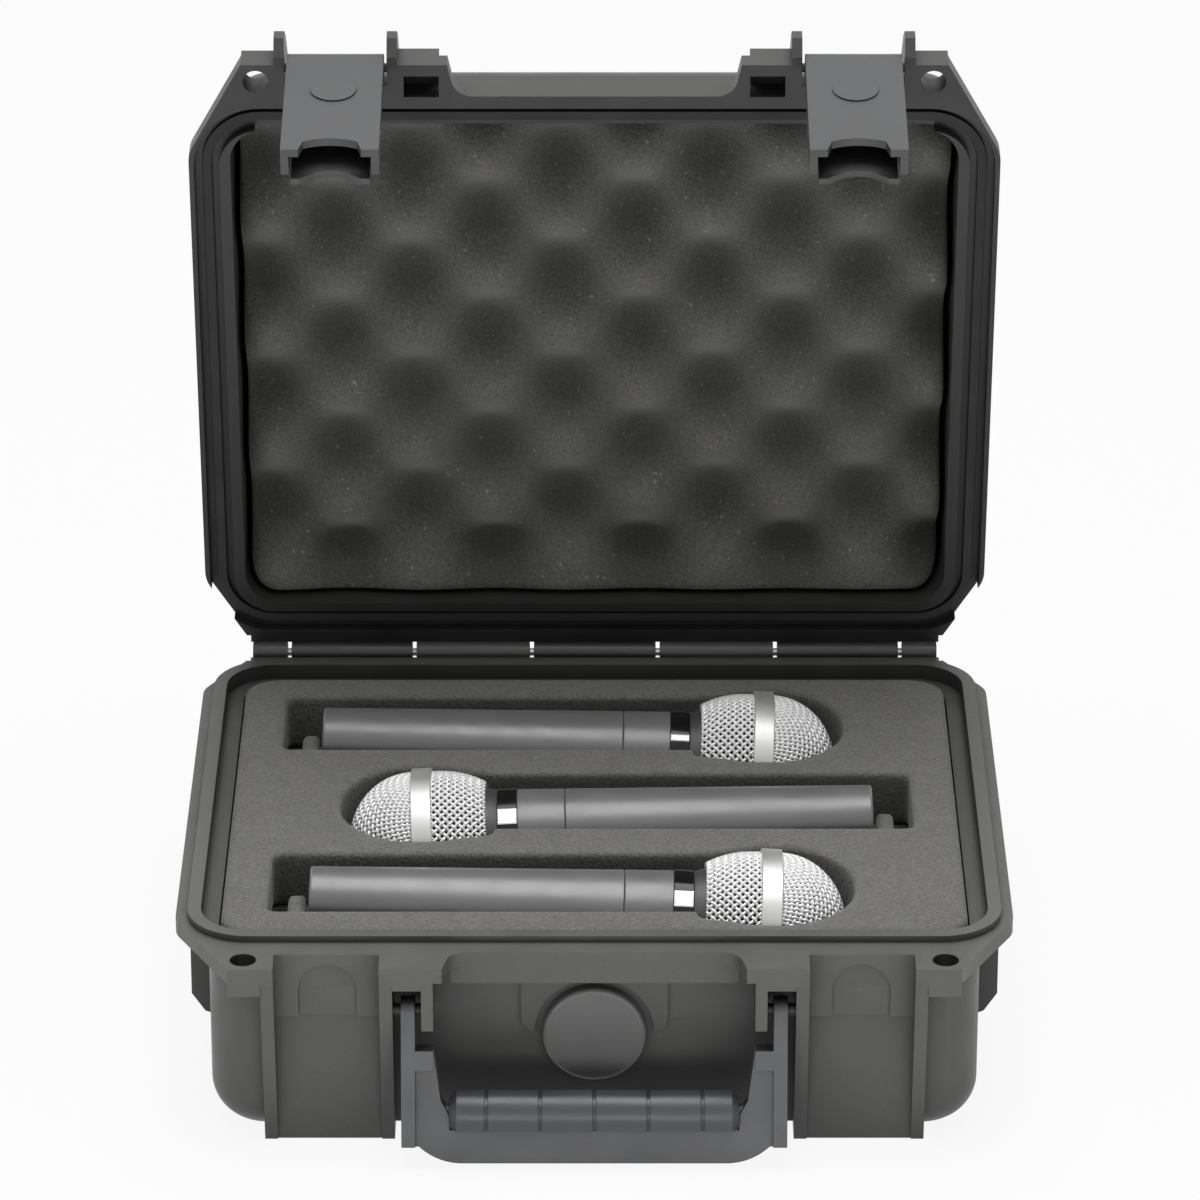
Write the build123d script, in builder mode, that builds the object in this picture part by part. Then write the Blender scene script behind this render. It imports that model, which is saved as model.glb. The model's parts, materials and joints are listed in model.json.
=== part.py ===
"""Moulded three-microphone case: base, hinged lid, two latches, handle and cut foam.

Units are millimetres. The origin is at the centre of the base's underside, +X is the
user's right, -Y is the front and +Z is up. Sizes across the case are taken from the hinge
axis: "w" runs forward from it and "n" runs up from the mating plane, where the lid's
flange meets the base's. The lid stands open at rest.
"""

from math import asin, cos, degrees, radians, sin

from build123d import *
import os

os.makedirs("parts", exist_ok=True)

# ---------------------------------------------------------------- case, walls and heights
BASE_HEIGHT = 67.0
LID_HEIGHT = 43.0
WALL = 2.9
FLOOR = 3.0
CAVITY_HALF_WIDTH = 119.8
CAVITY_DEPTH = 188.8
CAVITY_CORNER = 12.0
CAVITY_BOTTOM_ROUND = 11.5
BLOCK_DEPTH = 9.7  # front panel to the front face of the corners and of the latch bays
LID_OPEN = 80.0
MATING_GAP = 0.2  # between the closed flanges
CUT_OVER = 1.0  # how far a cut runs past the face it leaves by

# ---------------------------------------------------------------- flange round the mating plane
FLANGE_BACK = 6.9  # hinge axis to the back edge
FLANGE_RIM = 13.7  # width of the flange, outside the cavity
FLANGE_SHOULDER = 11.8  # how far the front shoulders stand before the block
FLANGE_THICKNESS = 5.0
LID_FLANGE_THICKNESS = 6.5
FRONT_CHAMFER_ACROSS = 18.1
FRONT_CHAMFER_ALONG = 33.8
BACK_CHAMFER_ACROSS = 13.5
BACK_CHAMFER_ALONG = 23.1
SIDE_ROUND = 12.0
RECESS_HALF_WIDTH = 45.5  # front edge between the shoulders
RECESS_SLANT = 2.5
RECESS_ROUND = 7.0

# ---------------------------------------------------------------- seal
BEAD_WIDTH = 4.3
BEAD_HEIGHT = 2.2
BEAD_INSET = 5.85  # flange side edge to the bead's centre line
BEAD_FRONT_INSET = 3.75  # cavity to the bead's centre line at the front
BEAD_CORNER = 18.0
LEDGE_DEPTH = 3.2
CHANNEL_WIDTH = 8.4
CHANNEL_DEPTH = 4.2
GASKET_WIDTH = 3.2
GASKET_HEIGHT = 1.5

# ---------------------------------------------------------------- latch bays and ribs
LATCH_INSET = 35.4  # cavity's side to the latch's middle
LATCH_WIDTH = 31.5
BAY_GAP = 0.9  # latch to the ribs beside it
RIB_WIDTH = 4.1
RIB_FOOT = 0.6  # how far a rib stands before the block at the underside
PAD_THICKNESS = 1.7
PAD_DEPTH = 22.0
ARCH_WIDTH = 18.5
ARCH_TOP = 3.5
ARCH_DEPTH = 1.2
CORE_WALL = 3.0
CORE_TOP = 14.0

# ---------------------------------------------------------------- front panel and bracket
STRIP_DEPTH = 11.0
BRACKET_WIDTH = 12.85  # rib to the outer side of the bracket's leg
BRACKET_LEG = 3.7
BRACKET_BAR = 7.75
BRACKET_DROP = 22.0
DISC_RADIUS = 16.6
DISC_DROP = 33.0  # mating plane to the disc's centre
DISC_THICKNESS = 4.0
DISC_SEAT = 1.4
DISC_EDGE = 1.6
TAB_HALF_WIDTH = 23.4
TAB_DROP = 33.0
TAB_THICKNESS = 1.2
TAB_CORNER = 5.0
TAB_CLEARANCE = 2.4

# ---------------------------------------------------------------- padlock holes and side lugs
PADLOCK_SIDE_INSET = 22.9
PADLOCK_FRONT_INSET = 6.4
PADLOCK_RADIUS = 4.2
PADLOCK_BOSS = 9.7
LUG_REACH = 8.6
LUG_WIDTH = 13.0
LUG_DROP = 54.0
LUG_PLACES = (62.0, 158.0)

# ---------------------------------------------------------------- hinge
KNUCKLE_RADIUS = 3.75
KNUCKLE_PARTINGS = (-105.3, -62.2, -21.7, 21.7, 62.2, 105.3)
KNUCKLE_END_INSET = 1.2  # cavity's side to the ends of the hinge
KNUCKLE_GAP = 1.4
KNUCKLE_CLEARANCE = 0.4  # knuckles to the opposite flange's edge
KNUCKLE_WEB_BITE = 2.0  # how far a knuckle's web reaches into the flange
HINGE_PIN_RADIUS = 1.4
RUNNING_GAP = 0.05

# ---------------------------------------------------------------- latch
LATCH_PIN_RADIUS = 1.5
LATCH_PIN_INSET = 2.3  # flange's front to the pin
LATCH_PIN_N = 2.5
LATCH_BARREL = 4.5
LATCH_PLATE = 2.8
LATCH_REACH = 56.8  # mating plane to the latch's free end
LATCH_SIDE = 2.6
LATCH_SIDE_DEPTH = 9.3
LATCH_TOP_DEPTH = 5.5
HOOK_DEPTH = 11.9  # outer face to the hook's nose
HOOK_WIDTH = 15.0
HOOK_N = -4.2
HOOK_HEIGHT = 4.5
SCOOP_WIDTH = 20.6
SCOOP_TOP_WIDTH = 17.4
SCOOP_SIDE = 5.0
SCOOP_DEPTH = 7.0
CAP_RADIUS = 7.5
CAP_DROP = 19.2
CAP_THICKNESS = 1.3
CAP_SEAT = 0.8
EAR_WIDTH = 3.4
EAR_GAP = 0.95
EAR_NOSE = 10.0  # latch pin to the ear's blunt nose
EAR_CHAMFER = 5.0
EAR_NOSE_LOW = 4.5  # the ear's blunt nose lies between these two n values
EAR_NOSE_HIGH = 9.0
EAR_SHOULDER = 16.0  # n where the ear meets its long rib
EAR_RIB_FOOT = 3.0  # how far the rib stands out where it ends on the dome
LATCH_BACK_GAP = 1.0

POCKET_OVERLAP = 0.3  # pocket in the lid's shoulder, over the handle bracket
POCKET_FRONT_INSET = 4.2
POCKET_WALL = 2.0
ROOF_FIELD_INSET = 24.0
ROOF_FIELD_DEPTH = 1.2
ROOF_BARS = 4
ROOF_BAR_PITCH = 48.0
ROOF_BAR_WIDTH = 8.0

# ---------------------------------------------------------------- latch trigger
SPRING_SLOT = 8.0
SPRING_WIRE = 1.0
SPRING_LEG = 9.0
TRIGGER_PIN_RADIUS = 1.25
TRIGGER_PIN_DEPTH = 5.9  # below the latch's outer face
TRIGGER_PIN_N = -37.0
TRIGGER_BARREL = 2.7
TRIGGER_PLATE = 2.2
TRIGGER_LIP_DEPTH = 13.3
TRIGGER_GAP = 0.4
TRIGGER_END = 56.4
TRIGGER_FLAT = 1.0  # straight stretch below the pin
TRIGGER_LIP_HEIGHT = 3.0
TRIGGER_BITE_RADIUS = 13.0  # round finger bite in the lip
TRIGGER_BITE_DROP = 8.8

# ---------------------------------------------------------------- handle
HANDLE_PIVOT_INSET = 6.3  # flange's front to the pivot
HANDLE_PIVOT_DROP = 17.5
HANDLE_LEAN = 14.0
HANDLE_SIDE_GAP = 2.6  # arm to the rib beside it
HANDLE_ARM = 4.5
HANDLE_ARM_RADIUS = 4.5
HANDLE_ARM_LENGTH = 12.5
HANDLE_SHOULDER_END = 19.0
HANDLE_BAR_DROP = 33.7
HANDLE_BAR_RADIUS = 2.9
HANDLE_PLATE_TOP = 38.5
HANDLE_PLATE_END = 49.5
HANDLE_PLATE_THICKNESS = 6.4
HANDLE_PLATE_RISE = 5.5  # how much higher the plate's ends are than its middle
HANDLE_PLATE_FOOT = 5.5  # flat stretch under each arm
HANDLE_PLATE_SWEEP = 13.7  # length across of the curve that joins it to the middle
HANDLE_CORNER_SLANT = 2.3  # how far the window narrows down to the corner
HANDLE_CORNER_DROP = 29.0
HANDLE_PIN_RADIUS = 2.0
GRIP_RADIUS = 7.2
GRIP_END_INSET = 5.0  # bracket's leg to the grip's end
GRIP_END_CHAMFER = 2.2
GRIP_GROOVES = 5
GRIP_GROOVE_PITCH = 17.1
GRIP_GROOVE_WIDTH = 1.2
GRIP_GROOVE_DEPTH = 0.7

# ---------------------------------------------------------------- foam
FOAM_GAP = 0.6
FOAM_TOP_SHEET = 19.0
FOAM_MIDDLE_SHEET = 20.8
LID_FOAM_PEAK = 10.4  # mating plane to the peaks
LID_FOAM_VALLEY = 22.0
LID_FOAM_INSET = 2.0
LID_FOAM_PITCH = 50.2  # between the peaks of one row
LID_FOAM_ROW_PITCH = 22.8
LID_FOAM_PHASE = 13.5  # first row's peak nearest to the middle
LID_FOAM_FIRST_ROW = 16.4  # cavity's front to the first row
LID_FOAM_PEAK_TOP = 5.0
LID_FOAM_PEAK_FOOT = 15.0
LID_FOAM_EDGE = 6.0  # mating plane to the raised edge at the hinge side
LID_FOAM_EDGE_WIDTH = 7.0

# ---------------------------------------------------------------- microphones
MIC_PITCH = 58.8
MIC_MIDDLE_SHIFT = 1.7  # cavity's middle to the middle microphone
MIC_TAIL_INSET = 27.8  # cavity's side to the tail
MIC_TAIL_RADIUS = 12.0
MIC_TAIL_DEPTH = 7.0  # mating plane down to the tail's centre
MIC_HEAD_DEPTH = 14.9  # mating plane down to the band's centre
MIC_BODY_LENGTH = 101.0
MIC_BARREL_LENGTH = 16.0
MIC_RING_LENGTH = 6.4
MIC_COLLAR_LENGTH = 4.2
MIC_REAR_GRILLE_LENGTH = 17.2
MIC_BAND_LENGTH = 6.8
MIC_FRONT_GRILLE_LENGTH = 21.9
MIC_SHOULDER_LENGTH = 6.0  # collar to the rear grille's shoulder
MIC_NECK_RADIUS = 16.2
MIC_RING_RADIUS = 16.6
MIC_SHOULDER_RADIUS = 22.0
MIC_GRILLE_REAR_RADIUS = 19.5
MIC_GRILLE_RADIUS = 23.6
MIC_BAND_RADIUS = 24.6
MIC_WALL = 1.2
MIC_BORE = 9.6
MIC_EDGE = 0.6
MIC_BARREL_STEP = 0.4
MIC_SOCKET_DEPTH = 16.0
MIC_CONNECTOR_THICKNESS = 4.8
MIC_CONTACTS = 3
MIC_CONTACT_RADIUS = 1.2
MIC_CONTACT_CIRCLE = 4.8
MIC_CONTACT_LENGTH = 12.0
MIC_CAPSULE_RADIUS = 12.6
MIC_POCKET_GAP = 2.4
MIC_SLOT_BACK = 22.0  # axis to the body slot's back and front edges
MIC_SLOT_FRONT = 17.4
MIC_NOTCH = 12.6
MIC_NOTCH_STEP = 6.0
MIC_STEP = 6.6
MIC_STEP_DROP = 3.8
MIC_STEP_GAP = 0.7
MIC_SEAT_LENGTH = 3.0
MIC_SEAT_GAP = 0.3

# ---------------------------------------------------------------- worked-out places
FLANGE_HALF_WIDTH = CAVITY_HALF_WIDTH + FLANGE_RIM
CAVITY_BACK = FLANGE_BACK + FLANGE_RIM
CAVITY_FRONT = CAVITY_BACK + CAVITY_DEPTH
TUB_HALF_WIDTH = CAVITY_HALF_WIDTH + WALL
TUB_BACK = CAVITY_BACK - WALL
PANEL_FRONT = CAVITY_FRONT + WALL
BLOCK_FRONT = PANEL_FRONT + BLOCK_DEPTH
FLANGE_FRONT = BLOCK_FRONT + FLANGE_SHOULDER
HINGE_Y = (FLANGE_BACK + FLANGE_FRONT) / 2
KNUCKLE_END = CAVITY_HALF_WIDTH - KNUCKLE_END_INSET
BEAD_HALF_WIDTH = FLANGE_HALF_WIDTH - BEAD_INSET
BEAD_BACK = FLANGE_BACK + BEAD_INSET
BEAD_FRONT = CAVITY_FRONT + BEAD_FRONT_INSET
LATCH_X = CAVITY_HALF_WIDTH - LATCH_INSET
LATCH_PIN_W = FLANGE_FRONT - LATCH_PIN_INSET
LATCH_FACE = LATCH_PIN_W + LATCH_BARREL
BAY_INNER = LATCH_X - LATCH_WIDTH / 2 - BAY_GAP
BAY_OUTER = LATCH_X + LATCH_WIDTH / 2 + BAY_GAP
RIB_OUTER = BAY_OUTER + RIB_WIDTH
RIB_INNER = BAY_INNER - RIB_WIDTH
PAD_FRONT = BLOCK_FRONT + PAD_THICKNESS
BRACKET_INNER = RIB_INNER - BRACKET_WIDTH
PADLOCK_X = FLANGE_HALF_WIDTH - PADLOCK_SIDE_INSET
PADLOCK_W = FLANGE_FRONT - PADLOCK_FRONT_INSET
HANDLE_PIVOT_W = FLANGE_FRONT - HANDLE_PIVOT_INSET
HANDLE_OUTER = RIB_INNER - HANDLE_SIDE_GAP
GRIP_HALF_LENGTH = BRACKET_INNER - GRIP_END_INSET
MIC_MIDDLE_W = (CAVITY_BACK + CAVITY_FRONT) / 2 + MIC_MIDDLE_SHIFT
MIC_TAIL_X = CAVITY_HALF_WIDTH - MIC_TAIL_INSET
FOAM_HALF_WIDTH = CAVITY_HALF_WIDTH - FOAM_GAP
FOAM_BACK = CAVITY_BACK + FOAM_GAP
FOAM_FRONT = CAVITY_FRONT - FOAM_GAP
FLOOR_SHEET = BASE_HEIGHT - FLOOR - FOAM_TOP_SHEET - FOAM_MIDDLE_SHEET
SIDES = (("left", -1), ("right", 1))

BASE = Plane(origin=(0, HINGE_Y, BASE_HEIGHT))
LID = BASE.rotated((-LID_OPEN, 0, 0))


def span(near, far):
    """Centre and length of a stretch."""
    return (near + far) / 2, abs(far - near)


def slab(frame, x_from, x_to, w_from, w_to, n_from, n_to, mode=Mode.ADD):
    """A block between two x, two w and two n values of a frame."""
    x_mid, x_size = span(x_from, x_to)
    w_mid, w_size = span(w_from, w_to)
    low, high = min(n_from, n_to), max(n_from, n_to)
    with BuildSketch(frame.offset(low)) as outline:
        with Locations((x_mid, -w_mid)):
            Rectangle(x_size, w_size)
    extrude(outline.sketch, amount=high - low, mode=mode)


def section(frame, x):
    """A plane across the frame at x, whose sketch axes are (-w, n)."""
    origin = frame.from_local_coords((x, 0, 0))
    return Plane(origin=origin, x_dir=frame.y_dir, z_dir=frame.x_dir)


def wall_profile(frame, x_from, x_to, points, mode=Mode.ADD):
    """A plate between x_from and x_to whose outline is a list of (w, n) points."""
    with BuildSketch(section(frame, min(x_from, x_to))) as outline:
        with BuildLine():
            Polyline(*[(-w, n) for w, n in points], close=True)
        make_face()
    extrude(outline.sketch, amount=abs(x_to - x_from), mode=mode)


def cross_bore(frame, x_from, x_to, w, n, radius, mode=Mode.ADD):
    """A round bar or bore along X between x_from and x_to."""
    with BuildSketch(section(frame, min(x_from, x_to))) as outline:
        with Locations((-w, n)):
            Circle(radius)
    extrude(outline.sketch, amount=abs(x_to - x_from), mode=mode)


def flange_outline():
    """The flange seen from above: chamfered corners and a recessed middle at the front."""
    half = [
        (FLANGE_HALF_WIDTH - BACK_CHAMFER_ACROSS, FLANGE_BACK, 0),
        (FLANGE_HALF_WIDTH, FLANGE_BACK + BACK_CHAMFER_ALONG, SIDE_ROUND),
        (FLANGE_HALF_WIDTH, FLANGE_FRONT - FRONT_CHAMFER_ALONG, SIDE_ROUND),
        (FLANGE_HALF_WIDTH - FRONT_CHAMFER_ACROSS, FLANGE_FRONT, 0),
        (RECESS_HALF_WIDTH + RECESS_SLANT, FLANGE_FRONT, 0),
        (RECESS_HALF_WIDTH, BLOCK_FRONT, RECESS_ROUND),
    ]
    right = [(x, -w) for x, w, _ in half]
    left = [(-x, -w) for x, w, _ in reversed(half)]
    rounds = [corner for _, _, corner in half]
    with BuildLine() as edge:
        FilletPolyline(*right, *left, radius=rounds + rounds[::-1], close=True)
    make_face(edge.line)


def rounded_ring(half_width, w_back, w_front, corner, width):
    """A closed band of the given width about a rounded rectangle."""
    w_mid, depth = span(w_back, w_front)
    with Locations((0, -w_mid)):
        RectangleRounded(2 * half_width + width, depth + width, corner + width / 2)
        RectangleRounded(
            2 * half_width - width, depth - width, corner - width / 2, mode=Mode.SUBTRACT
        )


def bead_ring(width):
    rounded_ring(BEAD_HALF_WIDTH, BEAD_BACK, BEAD_FRONT, BEAD_CORNER, width)


def cavity_outline(gap=0.0):
    w_mid, depth = span(CAVITY_BACK, CAVITY_FRONT)
    with Locations((0, -w_mid)):
        RectangleRounded(
            2 * (CAVITY_HALF_WIDTH - gap), depth - 2 * gap, CAVITY_CORNER - gap
        )


def knuckle_spans(lid):
    """The x spans of the lid's knuckles, or of the base's."""
    ends = (-KNUCKLE_END, *KNUCKLE_PARTINGS, KNUCKLE_END)
    spans = list(zip(ends[:-1], ends[1:]))
    return spans[1::2] if lid else spans[0::2]


def add_knuckles(frame, lid, bore):
    """Hinge knuckles with their webs to the flange, whose edge lies close along them."""
    side = 1 if lid else -1
    slab(
        frame,
        -KNUCKLE_END,
        KNUCKLE_END,
        KNUCKLE_RADIUS + KNUCKLE_CLEARANCE,
        FLANGE_BACK + KNUCKLE_WEB_BITE,
        side * MATING_GAP if lid else 0,
        side * (LID_FLANGE_THICKNESS if lid else FLANGE_THICKNESS),
    )
    for x_from, x_to in knuckle_spans(lid):
        inset = KNUCKLE_GAP / 2
        cross_bore(frame, x_from + inset, x_to - inset, 0, 0, KNUCKLE_RADIUS)
        slab(
            frame,
            x_from + inset,
            x_to - inset,
            0,
            FLANGE_BACK + KNUCKLE_WEB_BITE,
            side * MATING_GAP,
            side * KNUCKLE_RADIUS,
        )
        cross_bore(frame, x_from, x_to, 0, 0, bore, mode=Mode.SUBTRACT)


# ================================================================ base
with BuildPart() as base_cavity:
    with BuildSketch(BASE):
        cavity_outline()
    extrude(amount=-(BASE_HEIGHT - FLOOR))
    fillet(base_cavity.faces().sort_by(Axis.Z)[0].edges(), CAVITY_BOTTOM_ROUND)

with BuildPart() as base_shell:
    # tub
    tub_mid, tub_depth = span(TUB_BACK, BLOCK_FRONT)
    with BuildSketch(BASE):
        with Locations((0, -tub_mid)):
            RectangleRounded(2 * TUB_HALF_WIDTH, tub_depth, CAVITY_CORNER + 2 * WALL)
    extrude(amount=-BASE_HEIGHT)
    underside = base_shell.faces().sort_by(Axis.Z)[0]
    fillet(underside.edges(), CAVITY_BOTTOM_ROUND + WALL)
    # recessed front panel behind the handle
    slab(BASE, -RIB_INNER, RIB_INNER, PANEL_FRONT, BLOCK_FRONT + CUT_OVER, -BASE_HEIGHT, 0,
         mode=Mode.SUBTRACT)
    # flange, with a deeper strip at the middle of its front
    with BuildSketch(BASE):
        flange_outline()
    extrude(amount=-FLANGE_THICKNESS)
    slab(BASE, -RECESS_HALF_WIDTH, RECESS_HALF_WIDTH, CAVITY_FRONT, BLOCK_FRONT, -STRIP_DEPTH, 0)
    for side, sign in SIDES:
        # latch bay: flange cut back, square block to the floor and keeper pad
        slab(BASE, sign * BAY_INNER, sign * BAY_OUTER, BLOCK_FRONT, FLANGE_FRONT + CUT_OVER,
             -FLANGE_THICKNESS, 0, mode=Mode.SUBTRACT)
        slab(BASE, sign * RIB_INNER, sign * RIB_OUTER, CAVITY_FRONT, BLOCK_FRONT, -BASE_HEIGHT, 0)
        slab(BASE, sign * BAY_INNER, sign * BAY_OUTER, CAVITY_FRONT, PAD_FRONT, -PAD_DEPTH, 0)
        with BuildSketch(Plane.XZ.offset(PAD_FRONT - HINGE_Y)):
            with Locations((sign * LATCH_X, BASE_HEIGHT - PAD_DEPTH)):
                SlotOverall(2 * (PAD_DEPTH - ARCH_TOP), ARCH_WIDTH, rotation=90)
        extrude(amount=-ARCH_DEPTH, mode=Mode.SUBTRACT)
        # ribs at both sides of the bay
        for rib_from, rib_to in ((BAY_OUTER, RIB_OUTER), (RIB_INNER, BAY_INNER)):
            wall_profile(BASE, sign * rib_from, sign * rib_to, [
                (CAVITY_FRONT, 0),
                (FLANGE_FRONT, 0),
                (FLANGE_FRONT, -FLANGE_THICKNESS),
                (BLOCK_FRONT + RIB_FOOT, -BASE_HEIGHT),
                (CAVITY_FRONT, -BASE_HEIGHT),
            ])
        # handle bracket: bar and inner leg
        slab(BASE, sign * BRACKET_INNER, sign * RIB_INNER, CAVITY_FRONT, FLANGE_FRONT,
             -BRACKET_BAR, 0)
        slab(BASE, sign * BRACKET_INNER, sign * (BRACKET_INNER + BRACKET_LEG), CAVITY_FRONT,
             FLANGE_FRONT, -BRACKET_DROP, 0)
        for x_from, x_to in ((BRACKET_INNER, BRACKET_INNER + BRACKET_LEG), (RIB_INNER, BAY_INNER)):
            cross_bore(BASE, sign * x_from, sign * x_to, HANDLE_PIVOT_W, -HANDLE_PIVOT_DROP,
                       HANDLE_PIN_RADIUS, mode=Mode.SUBTRACT)
        # padlock boss and hole
        boss_outer = FLANGE_HALF_WIDTH - FRONT_CHAMFER_ACROSS
        slab(BASE, sign * RIB_OUTER, sign * boss_outer, BLOCK_FRONT - WALL, FLANGE_FRONT,
             -PADLOCK_BOSS, 0)
        with BuildSketch(BASE):
            with Locations((sign * PADLOCK_X, -PADLOCK_W)):
                Circle(PADLOCK_RADIUS)
        extrude(amount=-2 * PADLOCK_BOSS, mode=Mode.SUBTRACT)
        # upright bumper lugs on the side wall
        for lug_w in LUG_PLACES:
            with BuildSketch(Plane.XZ.offset(lug_w + LUG_WIDTH / 2 - HINGE_Y)):
                with BuildLine():
                    inner = sign * (TUB_HALF_WIDTH - WALL / 2)
                    outer = sign * (TUB_HALF_WIDTH + LUG_REACH)
                    top = BASE_HEIGHT - FLANGE_THICKNESS
                    foot = BASE_HEIGHT - LUG_DROP
                    Polyline(
                        (inner, top),
                        (outer, top),
                        (outer, foot + LUG_REACH),
                        (outer - sign * LUG_REACH / 2, foot + LUG_REACH / 4),
                        (inner, foot),
                        close=True,
                    )
                make_face()
            extrude(amount=-LUG_WIDTH)
        # core of the front block, open below
        slab(BASE, sign * (RIB_INNER + CORE_WALL), sign * (RIB_OUTER - CORE_WALL),
             PANEL_FRONT, BLOCK_FRONT - CORE_WALL, -BASE_HEIGHT, -CORE_TOP, mode=Mode.SUBTRACT)
    # raised tab with the seat of the front disc
    disc_z = BASE_HEIGHT - DISC_DROP
    with BuildSketch(Plane.XZ.offset(PANEL_FRONT - HINGE_Y)):
        tab_mid, tab_size = span(BASE_HEIGHT - TAB_DROP, BASE_HEIGHT - STRIP_DEPTH / 2)
        with Locations((0, tab_mid)):
            RectangleRounded(2 * TAB_HALF_WIDTH, tab_size, TAB_CORNER)
        with Locations((0, disc_z)):
            Circle(DISC_RADIUS + TAB_CLEARANCE, mode=Mode.SUBTRACT)
    extrude(amount=TAB_THICKNESS)
    with BuildSketch(Plane.XZ.offset(PANEL_FRONT - HINGE_Y)):
        with Locations((0, disc_z)):
            Circle(DISC_RADIUS)
    extrude(amount=-DISC_SEAT, mode=Mode.SUBTRACT)
    # interior, the ledge under the bead and the sealing bead
    add(base_cavity.part, mode=Mode.SUBTRACT)
    with BuildSketch(BASE):
        ledge_mid, ledge_depth = span(BEAD_BACK, BEAD_FRONT)
        with Locations((0, -ledge_mid)):
            RectangleRounded(2 * BEAD_HALF_WIDTH - BEAD_WIDTH, ledge_depth - BEAD_WIDTH,
                             BEAD_CORNER - BEAD_WIDTH / 2)
    extrude(amount=-LEDGE_DEPTH, mode=Mode.SUBTRACT)
    with BuildSketch(BASE):
        bead_ring(BEAD_WIDTH)
    extrude(amount=BEAD_HEIGHT)
    add_knuckles(BASE, lid=False, bore=HINGE_PIN_RADIUS)
base_shell.part.label = "base_shell"
export_step(base_shell.part, "parts/base_shell.step")

# ---------------------------------------------------------------- front disc
with BuildPart() as front_disc:
    with BuildSketch(Plane.XZ.offset(PANEL_FRONT - DISC_SEAT - HINGE_Y)):
        with Locations((0, BASE_HEIGHT - DISC_DROP)):
            Circle(DISC_RADIUS - RUNNING_GAP)
    extrude(amount=DISC_SEAT + DISC_THICKNESS)
    fillet(front_disc.faces().sort_by(Axis.Y)[0].edges(), DISC_EDGE)
front_disc.part.label = "front_disc"
export_step(front_disc.part, "parts/front_disc.step")

# ---------------------------------------------------------------- hinge pin and handle pins
with BuildPart() as hinge_pin:
    cross_bore(BASE, KNUCKLE_GAP - KNUCKLE_END, KNUCKLE_END - KNUCKLE_GAP, 0, 0, HINGE_PIN_RADIUS)
hinge_pin.part.label = "hinge_pin"
export_step(hinge_pin.part, "parts/hinge_pin.step")

with BuildPart() as handle_pins:
    for side, sign in SIDES:
        cross_bore(BASE, sign * BRACKET_INNER, sign * BAY_INNER, HANDLE_PIVOT_W,
                   -HANDLE_PIVOT_DROP, HANDLE_PIN_RADIUS)
handle_pins.part.label = "handle_pins"
export_step(handle_pins.part, "parts/handle_pins.step")

# ================================================================ microphones
MIC_BARREL_END = MIC_BODY_LENGTH + MIC_BARREL_LENGTH
MIC_RING_END = MIC_BARREL_END + MIC_RING_LENGTH
MIC_COLLAR_END = MIC_RING_END + MIC_COLLAR_LENGTH
MIC_BAND_START = MIC_COLLAR_END + MIC_REAR_GRILLE_LENGTH
MIC_BAND_MIDDLE = MIC_BAND_START + MIC_BAND_LENGTH / 2
MIC_BAND_END = MIC_BAND_START + MIC_BAND_LENGTH
MIC_LENGTH = MIC_BAND_END + MIC_FRONT_GRILLE_LENGTH
MIC_TILT = degrees(asin((MIC_HEAD_DEPTH - MIC_TAIL_DEPTH) / MIC_BAND_MIDDLE))
MICS = (
    ("back", 1, MIC_MIDDLE_W - MIC_PITCH),
    ("middle", -1, MIC_MIDDLE_W),
    ("front", 1, MIC_MIDDLE_W + MIC_PITCH),
)


def mic_slot(w):
    """Middle and width, across the case, of the slot for a microphone's body."""
    return span(-w - MIC_SLOT_FRONT, -w + MIC_SLOT_BACK)


def mic_pocket(head_side, w, start, end):
    """Outline of one pocket: a slot for the body and a round-ended bay for the head."""
    head_half = MIC_BAND_RADIUS + MIC_POCKET_GAP
    x_start, x_end = [head_side * (axial - MIC_TAIL_X) for axial in (start, end)]
    slot_mid, slot_length = span(x_start, x_end)
    head_x = head_side * (MIC_BAND_MIDDLE - MIC_TAIL_X)
    head_length = MIC_LENGTH - MIC_COLLAR_END + 2 * MIC_POCKET_GAP
    head_mid = head_side * ((MIC_LENGTH + MIC_COLLAR_END) / 2 - MIC_TAIL_X)
    slot_y, slot_width = mic_slot(w)
    with Locations((slot_mid, slot_y)):
        Rectangle(slot_length, slot_width)
    with Locations((head_x, -w)):
        Circle(head_half)
    with Locations((head_mid, -w)):
        Ellipse(head_length / 2, head_half)
    shoulder_x = head_side * (MIC_COLLAR_END - MIC_POCKET_GAP - MIC_TAIL_X)
    shoulder_half = MIC_GRILLE_REAR_RADIUS + MIC_POCKET_GAP
    with BuildLine() as shoulder:
        Polyline(
            (shoulder_x, -w - shoulder_half),
            (head_x, -w - head_half),
            (head_x, -w + head_half),
            (shoulder_x, -w + shoulder_half),
            close=True,
        )
    make_face(shoulder.line)


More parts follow.
